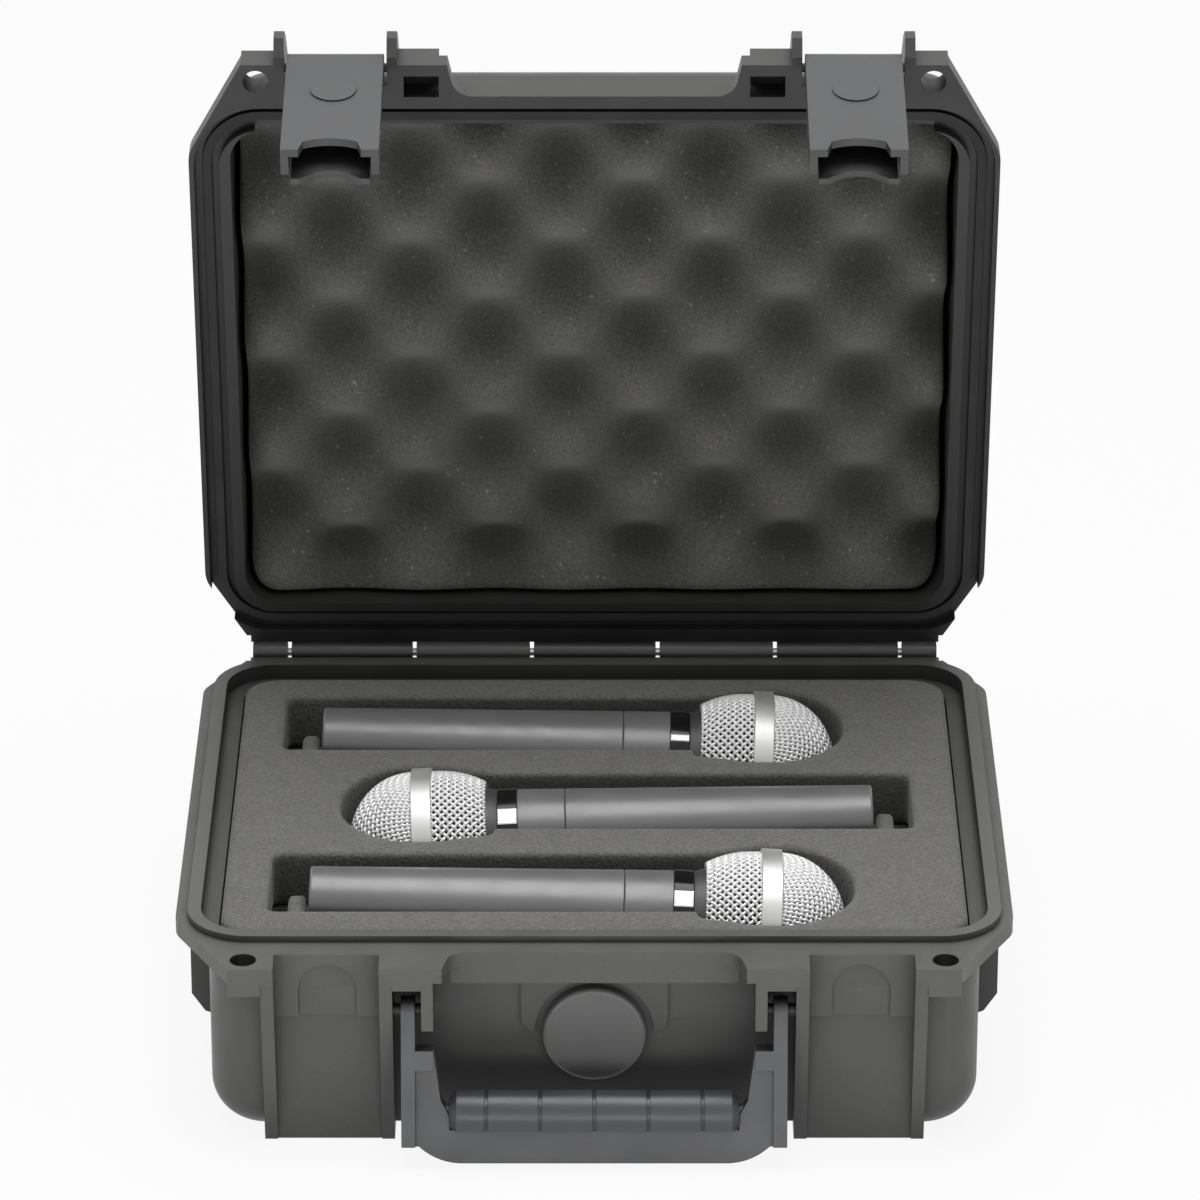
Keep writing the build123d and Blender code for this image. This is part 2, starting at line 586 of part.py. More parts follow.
def foam_sheet(name, top, bottom):
    """One foam sheet of the base between two depths, with the pockets that reach it."""
    with BuildPart() as sheet:
        with BuildSketch(BASE.offset(-top)):
            cavity_outline(FOAM_GAP)
        extrude(amount=-(bottom - top))
        if name == "foam_floor_layer":
            fillet(sheet.faces().sort_by(Axis.Z)[0].edges(), CAVITY_BOTTOM_ROUND - FOAM_GAP)
        else:
            in_top = name == "foam_top_layer"
            with BuildSketch(BASE.offset(-top)):
                for _, head_side, w in MICS:
                    start = -MIC_NOTCH if in_top else MIC_SEAT_LENGTH
                    mic_pocket(head_side, w, start, MIC_BAND_START)
                    if not in_top:
                        hole_from = head_side * (-MIC_NOTCH - MIC_TAIL_X)
                        hole_to = head_side * (-MIC_NOTCH + MIC_NOTCH_STEP - MIC_TAIL_X)
                        hole_mid, hole_size = span(hole_from, hole_to)
                        slot_y, slot_width = mic_slot(w)
                        with Locations((hole_mid, slot_y)):
                            Rectangle(hole_size, slot_width)
            extrude(amount=-(bottom - top), mode=Mode.SUBTRACT)
            if in_top:
                for _, head_side, w in MICS:
                    step_from = -head_side * (MIC_TAIL_X + MIC_STEP_GAP)
                    step_to = -head_side * (MIC_TAIL_X + MIC_STEP)
                    slab(BASE, step_from, step_to, w + MIC_SLOT_FRONT, w - MIC_WALL,
                         -MIC_STEP_DROP, -bottom)
    sheet.part.label = name
    export_step(sheet.part, f"parts/{name}.step")
    return sheet.part


MIDDLE_TOP = FOAM_TOP_SHEET
MIDDLE_BOTTOM = FOAM_TOP_SHEET + FOAM_MIDDLE_SHEET
foam_sheet("foam_top_layer", 0, MIDDLE_TOP)
foam_sheet("foam_middle_layer", MIDDLE_TOP, MIDDLE_BOTTOM)
foam_sheet("foam_floor_layer", MIDDLE_BOTTOM, MIDDLE_BOTTOM + FLOOR_SHEET)


def microphone(place, head_side, w):
    """The pieces of one handheld microphone, lying in its pocket with its head at
    head_side. Its own frame has x along the axis from the tail and y outward."""
    axis_dir = (head_side * cos(radians(MIC_TILT)), 0, -sin(radians(MIC_TILT)))
    tail = BASE.from_local_coords((-head_side * MIC_TAIL_X, -w, -MIC_TAIL_DEPTH + MIC_SEAT_GAP))
    across = Plane(origin=tail, x_dir=axis_dir, z_dir=(0, -1, 0))
    axis = Axis(tail, axis_dir)

    def turned(piece, outline):
        """A piece of revolution from its (axial, radial) outline."""
        with BuildPart() as turning:
            with BuildSketch(across):
                with BuildLine():
                    Polyline(*outline, close=True)
                make_face()
            revolve(axis=axis)
        name = f"mic_{place}_{piece}"
        turning.part.label = name
        export_step(turning.part, f"parts/{name}.step")
        return turning.part

    taper = (MIC_NECK_RADIUS - MIC_TAIL_RADIUS) / MIC_BARREL_END
    seam_radius = MIC_TAIL_RADIUS + taper * MIC_BODY_LENGTH
    turned("body", [
        (0, MIC_BORE), (0, MIC_TAIL_RADIUS - MIC_EDGE), (MIC_EDGE, MIC_TAIL_RADIUS),
        (MIC_BODY_LENGTH, seam_radius), (MIC_BODY_LENGTH, MIC_BORE),
    ])
    turned("barrel", [
        (MIC_BODY_LENGTH, MIC_BORE), (MIC_BODY_LENGTH, seam_radius - MIC_BARREL_STEP),
        (MIC_BODY_LENGTH + MIC_EDGE, seam_radius),
        (MIC_BARREL_END, MIC_NECK_RADIUS), (MIC_BARREL_END, MIC_BORE),
    ])
    turned("ring", [
        (MIC_BARREL_END, MIC_BORE), (MIC_BARREL_END, MIC_RING_RADIUS),
        (MIC_RING_END, MIC_RING_RADIUS), (MIC_RING_END, MIC_BORE),
    ])
    turned("collar", [
        (MIC_RING_END, MIC_BORE), (MIC_RING_END, MIC_NECK_RADIUS),
        (MIC_COLLAR_END, MIC_NECK_RADIUS + MIC_WALL), (MIC_COLLAR_END, MIC_BORE),
    ])
    connector_end = MIC_SOCKET_DEPTH + MIC_CONNECTOR_THICKNESS
    turned("connector", [
        (MIC_SOCKET_DEPTH, 0), (MIC_SOCKET_DEPTH, MIC_BORE), (connector_end, MIC_BORE),
        (connector_end, 0),
    ])
    grille_floor = MIC_COLLAR_END + MIC_WALL
    turned("capsule", [
        (grille_floor, 0), (grille_floor, MIC_CAPSULE_RADIUS),
        (MIC_BAND_START, MIC_CAPSULE_RADIUS), (MIC_BAND_START, 0),
    ])
    shoulder = MIC_COLLAR_END + MIC_SHOULDER_LENGTH
    turned("rear_grille", [
        (MIC_COLLAR_END, MIC_BORE), (MIC_COLLAR_END, MIC_GRILLE_REAR_RADIUS),
        (shoulder, MIC_SHOULDER_RADIUS), (MIC_BAND_START, MIC_GRILLE_RADIUS),
        (MIC_BAND_START, MIC_GRILLE_RADIUS - MIC_WALL), (shoulder, MIC_SHOULDER_RADIUS - MIC_WALL),
        (grille_floor, MIC_GRILLE_REAR_RADIUS - MIC_WALL), (grille_floor, MIC_BORE),
    ])
    turned("head_band", [
        (MIC_BAND_START, MIC_GRILLE_RADIUS - MIC_WALL), (MIC_BAND_START, MIC_BAND_RADIUS),
        (MIC_BAND_END, MIC_BAND_RADIUS), (MIC_BAND_END, MIC_GRILLE_RADIUS - MIC_WALL),
    ])
    with BuildPart() as dome:
        inner_length = MIC_FRONT_GRILLE_LENGTH - MIC_WALL
        with BuildSketch(across):
            with Locations((MIC_BAND_END, 0)):
                Ellipse(MIC_FRONT_GRILLE_LENGTH, MIC_GRILLE_RADIUS)
                Ellipse(inner_length, MIC_GRILLE_RADIUS - MIC_WALL, mode=Mode.SUBTRACT)
            with Locations((MIC_BAND_END - MIC_LENGTH / 2, 0)):
                Rectangle(MIC_LENGTH, MIC_LENGTH, mode=Mode.SUBTRACT)
            with Locations((MIC_BAND_END, -MIC_LENGTH / 2)):
                Rectangle(MIC_LENGTH, MIC_LENGTH, mode=Mode.SUBTRACT)
        revolve(axis=axis)
    name = f"mic_{place}_front_grille"
    dome.part.label = name
    export_step(dome.part, f"parts/{name}.step")
    with BuildPart() as pins:
        socket_floor = Plane(
            origin=across.from_local_coords((MIC_SOCKET_DEPTH, 0, 0)), z_dir=-Vector(axis_dir)
        )
        with BuildSketch(socket_floor):
            with PolarLocations(MIC_CONTACT_CIRCLE, MIC_CONTACTS):
                Circle(MIC_CONTACT_RADIUS)
        extrude(amount=MIC_CONTACT_LENGTH)
    name = f"mic_{place}_contact_pins"
    pins.part.label = name
    export_step(pins.part, f"parts/{name}.step")


for place, head_side, w in MICS:
    microphone(place, head_side, w)


# ================================================================ lid
with BuildPart() as lid_cavity:
    with BuildSketch(LID):
        cavity_outline()
    extrude(amount=LID_HEIGHT - FLOOR)
    top_edges = lid_cavity.faces().sort_by(Axis(LID.origin, LID.z_dir))[-1].edges()
    fillet(top_edges, CAVITY_BOTTOM_ROUND)

with BuildPart() as lid_shell:
    # dome
    dome_mid, dome_depth = span(TUB_BACK, PANEL_FRONT)
    with BuildSketch(LID.offset(MATING_GAP)):
        with Locations((0, -dome_mid)):
            RectangleRounded(2 * TUB_HALF_WIDTH, dome_depth, CAVITY_CORNER + WALL)
    extrude(amount=LID_HEIGHT - MATING_GAP)
    roof = lid_shell.faces().sort_by(Axis(LID.origin, LID.z_dir))[-1]
    fillet(roof.edges(), CAVITY_BOTTOM_ROUND + WALL)
    # flange
    with BuildSketch(LID.offset(MATING_GAP)):
        flange_outline()
    extrude(amount=LID_FLANGE_THICKNESS - MATING_GAP)
    slab(LID, -RECESS_HALF_WIDTH, RECESS_HALF_WIDTH, CAVITY_FRONT, BLOCK_FRONT, MATING_GAP,
         STRIP_DEPTH)
    for side, sign in SIDES:
        # gap for the latch, ears with their ribs, and the shoulder beside them
        latch_inner = LATCH_X - LATCH_WIDTH / 2 - EAR_GAP
        latch_outer = LATCH_X + LATCH_WIDTH / 2 + EAR_GAP
        slab(LID, sign * latch_inner, sign * latch_outer,
             LATCH_PIN_W - LATCH_BARREL - LATCH_BACK_GAP, FLANGE_FRONT + CUT_OVER, 0, LID_HEIGHT,
             mode=Mode.SUBTRACT)
        for ear_from, ear_to in ((latch_outer, latch_outer + EAR_WIDTH),
                                 (latch_inner - EAR_WIDTH, latch_inner)):
            wall_profile(LID, sign * ear_from, sign * ear_to, [
                (CAVITY_FRONT, MATING_GAP),
                (LATCH_PIN_W + EAR_NOSE - EAR_CHAMFER, MATING_GAP),
                (LATCH_PIN_W + EAR_NOSE, EAR_NOSE_LOW),
                (LATCH_PIN_W + EAR_NOSE, EAR_NOSE_HIGH),
                (LATCH_PIN_W + LATCH_BARREL, EAR_SHOULDER),
                (PANEL_FRONT + EAR_RIB_FOOT, LID_HEIGHT - CAVITY_BOTTOM_ROUND),
                (CAVITY_FRONT, LID_HEIGHT - CAVITY_BOTTOM_ROUND),
            ])
            cross_bore(LID, sign * ear_from, sign * ear_to, LATCH_PIN_W, LATCH_PIN_N,
                       LATCH_PIN_RADIUS, mode=Mode.SUBTRACT)
        slab(LID, sign * BRACKET_INNER, sign * (latch_inner - EAR_WIDTH), CAVITY_FRONT,
             FLANGE_FRONT, MATING_GAP, STRIP_DEPTH)
        pocket_outer = latch_inner - EAR_WIDTH - POCKET_WALL
        slab(LID, sign * BRACKET_INNER, sign * pocket_outer, BLOCK_FRONT - POCKET_OVERLAP,
             FLANGE_FRONT - POCKET_FRONT_INSET, 0, STRIP_DEPTH - POCKET_WALL, mode=Mode.SUBTRACT)
        # padlock boss and hole
        boss_outer = FLANGE_HALF_WIDTH - FRONT_CHAMFER_ACROSS
        slab(LID, sign * (latch_outer + EAR_WIDTH), sign * boss_outer, BLOCK_FRONT - WALL,
             FLANGE_FRONT, MATING_GAP, PADLOCK_BOSS)
        with BuildSketch(LID):
            with Locations((sign * PADLOCK_X, -PADLOCK_W)):
                Circle(PADLOCK_RADIUS)
        extrude(amount=2 * PADLOCK_BOSS, mode=Mode.SUBTRACT)
    # hollow, seal channel, shallow field in the roof
    add(lid_cavity.part, mode=Mode.SUBTRACT)
    with BuildSketch(LID):
        bead_ring(CHANNEL_WIDTH)
    extrude(amount=CHANNEL_DEPTH, mode=Mode.SUBTRACT)
    with BuildSketch(LID.offset(LID_HEIGHT)):
        with Locations((0, -dome_mid)):
            RectangleRounded(2 * (TUB_HALF_WIDTH - ROOF_FIELD_INSET),
                             dome_depth - 2 * ROOF_FIELD_INSET, CAVITY_CORNER)
            for step in range(ROOF_BARS):
                bar_x = (step - (ROOF_BARS - 1) / 2) * ROOF_BAR_PITCH
                with Locations((bar_x, 0)):
                    Rectangle(ROOF_BAR_WIDTH, dome_depth, mode=Mode.SUBTRACT)
    extrude(amount=-ROOF_FIELD_DEPTH, mode=Mode.SUBTRACT)
    add_knuckles(LID, lid=True, bore=HINGE_PIN_RADIUS + RUNNING_GAP)
lid_shell.part.label = "lid_shell"
export_step(lid_shell.part, "parts/lid_shell.step")

with BuildPart() as lid_gasket:
    with BuildSketch(LID.offset(CHANNEL_DEPTH)):
        bead_ring(GASKET_WIDTH)
    extrude(amount=-GASKET_HEIGHT)
lid_gasket.part.label = "lid_gasket"
export_step(lid_gasket.part, "parts/lid_gasket.step")

# ---------------------------------------------------------------- convoluted lid foam
with BuildPart() as lid_foam:
    with BuildSketch(LID.offset(LID_FOAM_VALLEY)):
        cavity_outline(LID_FOAM_INSET)
    extrude(amount=LID_HEIGHT - FLOOR - LID_FOAM_VALLEY)
    back_edges = lid_foam.faces().sort_by(Axis(LID.origin, LID.z_dir))[-1].edges()
    fillet(back_edges, CAVITY_BOTTOM_ROUND)
    # neighbouring rows of peaks are half a pitch apart
    first_row = CAVITY_FRONT - LID_FOAM_FIRST_ROW
    rows = int((first_row - CAVITY_BACK) / LID_FOAM_ROW_PITCH) + 1
    reach = CAVITY_HALF_WIDTH - LID_FOAM_PEAK_TOP
    for row in range(rows):
        start = LID_FOAM_PHASE + (LID_FOAM_PITCH / 2 if row % 2 else 0)
        peak_w = first_row - row * LID_FOAM_ROW_PITCH
        first = -int((reach + start) / LID_FOAM_PITCH)
        last = int((reach - start) / LID_FOAM_PITCH)
        for column in range(first, last + 1):
            peak_x = start + column * LID_FOAM_PITCH
            with BuildSketch(LID.offset(LID_FOAM_VALLEY)):
                with Locations((peak_x, -peak_w)):
                    Circle(LID_FOAM_PEAK_FOOT)
            with BuildSketch(LID.offset(LID_FOAM_PEAK)):
                with Locations((peak_x, -peak_w)):
                    Circle(LID_FOAM_PEAK_TOP)
            loft()
    # edge that is squeezed up against the hinge side's wall
    edge_w = CAVITY_BACK + LID_FOAM_INSET
    slab(LID, CAVITY_CORNER - CAVITY_HALF_WIDTH, CAVITY_HALF_WIDTH - CAVITY_CORNER, edge_w,
         edge_w + LID_FOAM_EDGE_WIDTH, LID_FOAM_EDGE, LID_FOAM_VALLEY + CUT_OVER)
    with BuildSketch(LID.offset(LID_FOAM_EDGE)):
        cavity_outline(LID_FOAM_INSET)
    extrude(amount=LID_HEIGHT, mode=Mode.INTERSECT)
lid_foam.part.label = "lid_foam"
export_step(lid_foam.part, "parts/lid_foam.step")

with BuildPart() as latch_pins:
    for side, sign in SIDES:
        pin_half = LATCH_WIDTH / 2 + EAR_GAP + EAR_WIDTH
        cross_bore(LID, sign * (LATCH_X - pin_half), sign * (LATCH_X + pin_half), LATCH_PIN_W,
                   LATCH_PIN_N, LATCH_PIN_RADIUS)
latch_pins.part.label = "latch_pins"
export_step(latch_pins.part, "parts/latch_pins.step")


# ================================================================ latches
def latch(side, sign):
    """One latch with its cap, trigger, trigger pin and spring, hanging over the base."""
    half = LATCH_WIDTH / 2
    inner = half - LATCH_SIDE
    trigger_w = LATCH_FACE - TRIGGER_PIN_DEPTH
    with BuildPart() as body:
        slab(LID, sign * LATCH_X - half, sign * LATCH_X + half, LATCH_FACE - LATCH_PLATE,
             LATCH_FACE, -LATCH_REACH, LATCH_PIN_N)
        for wall in (-1, 1):
            wall_from = sign * LATCH_X + wall * inner
            wall_to = sign * LATCH_X + wall * half
            wall_profile(LID, wall_from, wall_to, [
                (LATCH_FACE, LATCH_PIN_N),
                (LATCH_FACE - LATCH_TOP_DEPTH, LATCH_PIN_N),
                (LATCH_FACE - LATCH_SIDE_DEPTH, TRIGGER_PIN_N),
                (LATCH_FACE - LATCH_SIDE_DEPTH, -LATCH_REACH),
                (LATCH_FACE, -LATCH_REACH),
            ])
        cross_bore(LID, sign * LATCH_X - half, sign * LATCH_X + half, LATCH_PIN_W, LATCH_PIN_N,
                   LATCH_BARREL)
        slab(LID, sign * LATCH_X - HOOK_WIDTH / 2, sign * LATCH_X + HOOK_WIDTH / 2,
             LATCH_FACE - HOOK_DEPTH, LATCH_FACE - LATCH_PLATE / 2, HOOK_N - HOOK_HEIGHT, HOOK_N)
        cross_bore(LID, sign * LATCH_X - half, sign * LATCH_X + half, LATCH_PIN_W, LATCH_PIN_N,
                   LATCH_PIN_RADIUS + RUNNING_GAP, mode=Mode.SUBTRACT)
        cross_bore(LID, sign * LATCH_X - half, sign * LATCH_X + half, trigger_w, TRIGGER_PIN_N,
                   TRIGGER_PIN_RADIUS, mode=Mode.SUBTRACT)
        # scooped end of the plate and the seat of the cap
        face = Plane(
            origin=LID.from_local_coords((0, -LATCH_FACE, 0)), x_dir=LID.x_dir, z_dir=-LID.y_dir
        )
        with BuildSketch(face):
            with BuildLine():
                middle_x = sign * LATCH_X
                shoulder_y = SCOOP_SIDE - LATCH_REACH
                ThreePointArc(
                    (middle_x - SCOOP_TOP_WIDTH / 2, shoulder_y),
                    (middle_x, SCOOP_DEPTH - LATCH_REACH),
                    (middle_x + SCOOP_TOP_WIDTH / 2, shoulder_y),
                )
                Polyline(
                    (middle_x + SCOOP_TOP_WIDTH / 2, shoulder_y),
                    (middle_x + SCOOP_WIDTH / 2, -LATCH_REACH - CUT_OVER),
                    (middle_x - SCOOP_WIDTH / 2, -LATCH_REACH - CUT_OVER),
                    (middle_x - SCOOP_TOP_WIDTH / 2, shoulder_y),
                )
            make_face()
        extrude(amount=-LATCH_PLATE, mode=Mode.SUBTRACT)
        with BuildSketch(face):
            with Locations((sign * LATCH_X, -CAP_DROP)):
                Circle(CAP_RADIUS + RUNNING_GAP)
        extrude(amount=-CAP_SEAT, mode=Mode.SUBTRACT)
    body.part.label = f"latch_{side}_body"
    export_step(body.part, f"parts/latch_{side}_body.step")

    with BuildPart() as cap:
        with BuildSketch(face.offset(-CAP_SEAT)):
            with Locations((sign * LATCH_X, -CAP_DROP)):
                Circle(CAP_RADIUS)
        extrude(amount=CAP_THICKNESS)
    cap.part.label = f"latch_{side}_cap"
    export_step(cap.part, f"parts/latch_{side}_cap.step")

    trigger_half = inner - TRIGGER_GAP
    with BuildPart() as trigger:
        cross_bore(LID, sign * LATCH_X - trigger_half, sign * LATCH_X + trigger_half, trigger_w,
                   TRIGGER_PIN_N, TRIGGER_BARREL)
        lip_w = LATCH_FACE - TRIGGER_LIP_DEPTH
        wall_profile(LID, sign * LATCH_X - trigger_half, sign * LATCH_X + trigger_half, [
            (trigger_w - TRIGGER_BARREL, TRIGGER_PIN_N),
            (trigger_w - TRIGGER_BARREL + TRIGGER_PLATE, TRIGGER_PIN_N),
            (trigger_w - TRIGGER_BARREL + TRIGGER_PLATE, TRIGGER_PIN_N - TRIGGER_FLAT),
            (lip_w + TRIGGER_PLATE, -TRIGGER_END + TRIGGER_LIP_HEIGHT),
            (lip_w + TRIGGER_PLATE, -TRIGGER_END),
            (lip_w, -TRIGGER_END),
            (lip_w, -TRIGGER_END + TRIGGER_LIP_HEIGHT),
            (trigger_w - TRIGGER_BARREL, TRIGGER_PIN_N - TRIGGER_FLAT),
        ])
        with BuildSketch(face):
            with Locations((sign * LATCH_X, -TRIGGER_END - TRIGGER_BITE_DROP)):
                Circle(TRIGGER_BITE_RADIUS)
        extrude(amount=-2 * TRIGGER_LIP_DEPTH, mode=Mode.SUBTRACT)
        cross_bore(LID, sign * LATCH_X - trigger_half, sign * LATCH_X + trigger_half, trigger_w,
                   TRIGGER_PIN_N, TRIGGER_PIN_RADIUS + RUNNING_GAP, mode=Mode.SUBTRACT)
        # slot for the spring's coil
        slab(LID, sign * LATCH_X - SPRING_SLOT / 2, sign * LATCH_X + SPRING_SLOT / 2,
             trigger_w - TRIGGER_BARREL - CUT_OVER, trigger_w + TRIGGER_BARREL + CUT_OVER,
             TRIGGER_PIN_N - TRIGGER_BARREL, TRIGGER_PIN_N + TRIGGER_BARREL + CUT_OVER,
             mode=Mode.SUBTRACT)
    trigger.part.label = f"latch_{side}_trigger"
    export_step(trigger.part, f"parts/latch_{side}_trigger.step")

    with BuildPart() as pin:
        cross_bore(LID, sign * LATCH_X - half, sign * LATCH_X + half, trigger_w, TRIGGER_PIN_N,
                   TRIGGER_PIN_RADIUS)
    pin.part.label = f"latch_{side}_trigger_pin"
    export_step(pin.part, f"parts/latch_{side}_trigger_pin.step")

    with BuildPart() as spring:
        coil_half = SPRING_SLOT / 2 - TRIGGER_GAP
        cross_bore(LID, sign * LATCH_X - coil_half, sign * LATCH_X + coil_half, trigger_w,
                   TRIGGER_PIN_N, TRIGGER_BARREL - TRIGGER_GAP / 2)
        cross_bore(LID, sign * LATCH_X - coil_half, sign * LATCH_X + coil_half, trigger_w,
                   TRIGGER_PIN_N, TRIGGER_PIN_RADIUS + RUNNING_GAP, mode=Mode.SUBTRACT)
        leg_w = LATCH_FACE - LATCH_PLATE
        slab(LID, sign * LATCH_X - coil_half, sign * LATCH_X - coil_half + SPRING_WIRE,
             leg_w - SPRING_WIRE, leg_w, TRIGGER_PIN_N, TRIGGER_PIN_N + SPRING_LEG)
    spring.part.label = f"latch_{side}_trigger_spring"
    export_step(spring.part, f"parts/latch_{side}_trigger_spring.step")


for side, sign in SIDES:
    latch(side, sign)

# ================================================================ handle
# The handle's own plane lies through its pivot, leaning out from the base; its sketch axes
# are x and the distance up from the pivot.
HANDLE = Plane(
    origin=BASE.from_local_coords((0, -HANDLE_PIVOT_W, -HANDLE_PIVOT_DROP)),
    x_dir=(1, 0, 0),
    z_dir=(0, -cos(radians(HANDLE_LEAN)), sin(radians(HANDLE_LEAN))),
)


def handle_block(x_from, x_to, top, bottom, thickness, mode=Mode.ADD):
    x_mid, x_size = span(x_from, x_to)
    y_mid, y_size = span(top, bottom)
    with BuildSketch(HANDLE.offset(-thickness / 2)) as outline:
        with Locations((x_mid, y_mid)):
            Rectangle(x_size, y_size)
    extrude(outline.sketch, amount=thickness, mode=mode)


with BuildPart() as handle_frame:
    arm_inner = HANDLE_OUTER - HANDLE_ARM
    arm_end = HANDLE_PLATE_RISE - HANDLE_PLATE_END
    for side, sign in SIDES:
        handle_block(sign * arm_inner, sign * HANDLE_OUTER, 0, arm_end, 2 * HANDLE_ARM_RADIUS)
        cross_bore(BASE, sign * arm_inner, sign * HANDLE_OUTER, HANDLE_PIVOT_W,
                   -HANDLE_PIVOT_DROP, HANDLE_ARM_RADIUS)
        handle_block(sign * BRACKET_INNER, sign * HANDLE_OUTER, -HANDLE_ARM_LENGTH,
                     -HANDLE_SHOULDER_END, 2 * HANDLE_ARM_RADIUS)
    # plate below the window, with slanted corners above and swept ends below
    foot = HANDLE_OUTER - HANDLE_PLATE_FOOT
    flat_half = foot - HANDLE_PLATE_SWEEP
    corner = BRACKET_INNER - HANDLE_CORNER_SLANT
    window = [
        (HANDLE_OUTER, arm_end),
        (HANDLE_OUTER, -HANDLE_ARM_LENGTH),
        (BRACKET_INNER, -HANDLE_ARM_LENGTH),
        (corner, -HANDLE_CORNER_DROP),
        (GRIP_HALF_LENGTH, -HANDLE_BAR_DROP),
        (GRIP_HALF_LENGTH, -HANDLE_PLATE_TOP),
    ]
    with BuildSketch(HANDLE.offset(-HANDLE_PLATE_THICKNESS / 2)):
        with BuildLine():
            Line((-flat_half, -HANDLE_PLATE_END), (flat_half, -HANDLE_PLATE_END))
            TangentArc((flat_half, -HANDLE_PLATE_END), (foot, arm_end), tangent=(1, 0))
            TangentArc((-flat_half, -HANDLE_PLATE_END), (-foot, arm_end), tangent=(-1, 0))
            Polyline(
                (foot, arm_end),
                *window,
                *[(-x, y) for x, y in reversed(window)],
                (-foot, arm_end),
            )
        make_face()
    extrude(amount=HANDLE_PLATE_THICKNESS)
    bar = Plane(
        origin=HANDLE.from_local_coords((-HANDLE_OUTER, -HANDLE_BAR_DROP, 0)), z_dir=(1, 0, 0)
    )
    with BuildSketch(bar):
        Circle(HANDLE_BAR_RADIUS)
    extrude(amount=2 * HANDLE_OUTER)
    for side, sign in SIDES:
        cross_bore(BASE, sign * arm_inner, sign * HANDLE_OUTER, HANDLE_PIVOT_W,
                   -HANDLE_PIVOT_DROP, HANDLE_PIN_RADIUS + RUNNING_GAP, mode=Mode.SUBTRACT)
handle_frame.part.label = "handle_frame"
export_step(handle_frame.part, "parts/handle_frame.step")

with BuildPart() as handle_grip:
    grip_start = Plane(
        origin=HANDLE.from_local_coords((-GRIP_HALF_LENGTH, -HANDLE_BAR_DROP, 0)),
        z_dir=(1, 0, 0),
    )
    with BuildSketch(grip_start):
        Circle(GRIP_RADIUS)
    extrude(amount=2 * GRIP_HALF_LENGTH)
    ends = handle_grip.faces().filter_by(GeomType.PLANE)
    chamfer(ends.edges(), GRIP_END_CHAMFER)
    # grooves between the finger segments
    for groove in range(GRIP_GROOVES):
        groove_x = (groove - (GRIP_GROOVES - 1) / 2) * GRIP_GROOVE_PITCH
        groove_start = grip_start.offset(GRIP_HALF_LENGTH + groove_x - GRIP_GROOVE_WIDTH / 2)
        with BuildSketch(groove_start):
            Circle(GRIP_RADIUS + CUT_OVER)
            Circle(GRIP_RADIUS - GRIP_GROOVE_DEPTH, mode=Mode.SUBTRACT)
        extrude(amount=GRIP_GROOVE_WIDTH, mode=Mode.SUBTRACT)
    # bore for the bar, and flat underneath where the grip sits on the plate
    with BuildSketch(grip_start):
        Circle(HANDLE_BAR_RADIUS)
    extrude(amount=2 * GRIP_HALF_LENGTH, mode=Mode.SUBTRACT)
    handle_block(-GRIP_HALF_LENGTH - CUT_OVER, GRIP_HALF_LENGTH + CUT_OVER, -HANDLE_PLATE_TOP,
                 -HANDLE_PLATE_END, 2 * (GRIP_RADIUS + CUT_OVER), mode=Mode.SUBTRACT)
handle_grip.part.label = "handle_grip"
export_step(handle_grip.part, "parts/handle_grip.step")
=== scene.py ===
"""Looks of the open microphone case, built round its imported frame.

Everything is in metres, in the part's own frame: the origin is at the centre of the base's
underside, +X is to the right, -Y is the front and +Z is up. In the lid's own plane, "w" is
the distance forward from the hinge axis and "n" the distance in from the mating plane.
"""

import json
import math

import bpy
import numpy as np
from mathutils import Matrix, Vector


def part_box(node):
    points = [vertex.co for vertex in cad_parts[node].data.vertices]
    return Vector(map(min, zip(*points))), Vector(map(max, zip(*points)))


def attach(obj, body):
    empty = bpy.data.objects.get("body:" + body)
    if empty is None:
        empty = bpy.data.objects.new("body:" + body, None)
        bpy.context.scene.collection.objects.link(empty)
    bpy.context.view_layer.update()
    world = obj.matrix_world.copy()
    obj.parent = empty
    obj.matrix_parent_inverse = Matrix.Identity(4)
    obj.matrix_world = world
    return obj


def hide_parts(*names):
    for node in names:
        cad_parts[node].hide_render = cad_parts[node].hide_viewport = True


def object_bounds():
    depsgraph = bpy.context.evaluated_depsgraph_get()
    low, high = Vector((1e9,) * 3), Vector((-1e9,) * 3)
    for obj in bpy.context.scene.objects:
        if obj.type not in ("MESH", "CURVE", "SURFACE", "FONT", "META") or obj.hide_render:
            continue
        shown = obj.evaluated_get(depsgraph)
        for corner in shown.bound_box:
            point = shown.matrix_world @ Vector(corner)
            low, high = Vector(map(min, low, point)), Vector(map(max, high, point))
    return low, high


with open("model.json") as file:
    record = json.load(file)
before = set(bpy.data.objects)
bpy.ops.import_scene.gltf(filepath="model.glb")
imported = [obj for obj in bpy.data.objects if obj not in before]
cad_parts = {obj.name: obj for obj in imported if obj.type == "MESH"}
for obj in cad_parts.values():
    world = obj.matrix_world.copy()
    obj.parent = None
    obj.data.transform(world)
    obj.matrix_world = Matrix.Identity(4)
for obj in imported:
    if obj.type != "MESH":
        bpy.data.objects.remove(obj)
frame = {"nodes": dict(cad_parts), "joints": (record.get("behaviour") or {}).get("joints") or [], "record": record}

CAD_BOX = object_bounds()
MM = 0.001

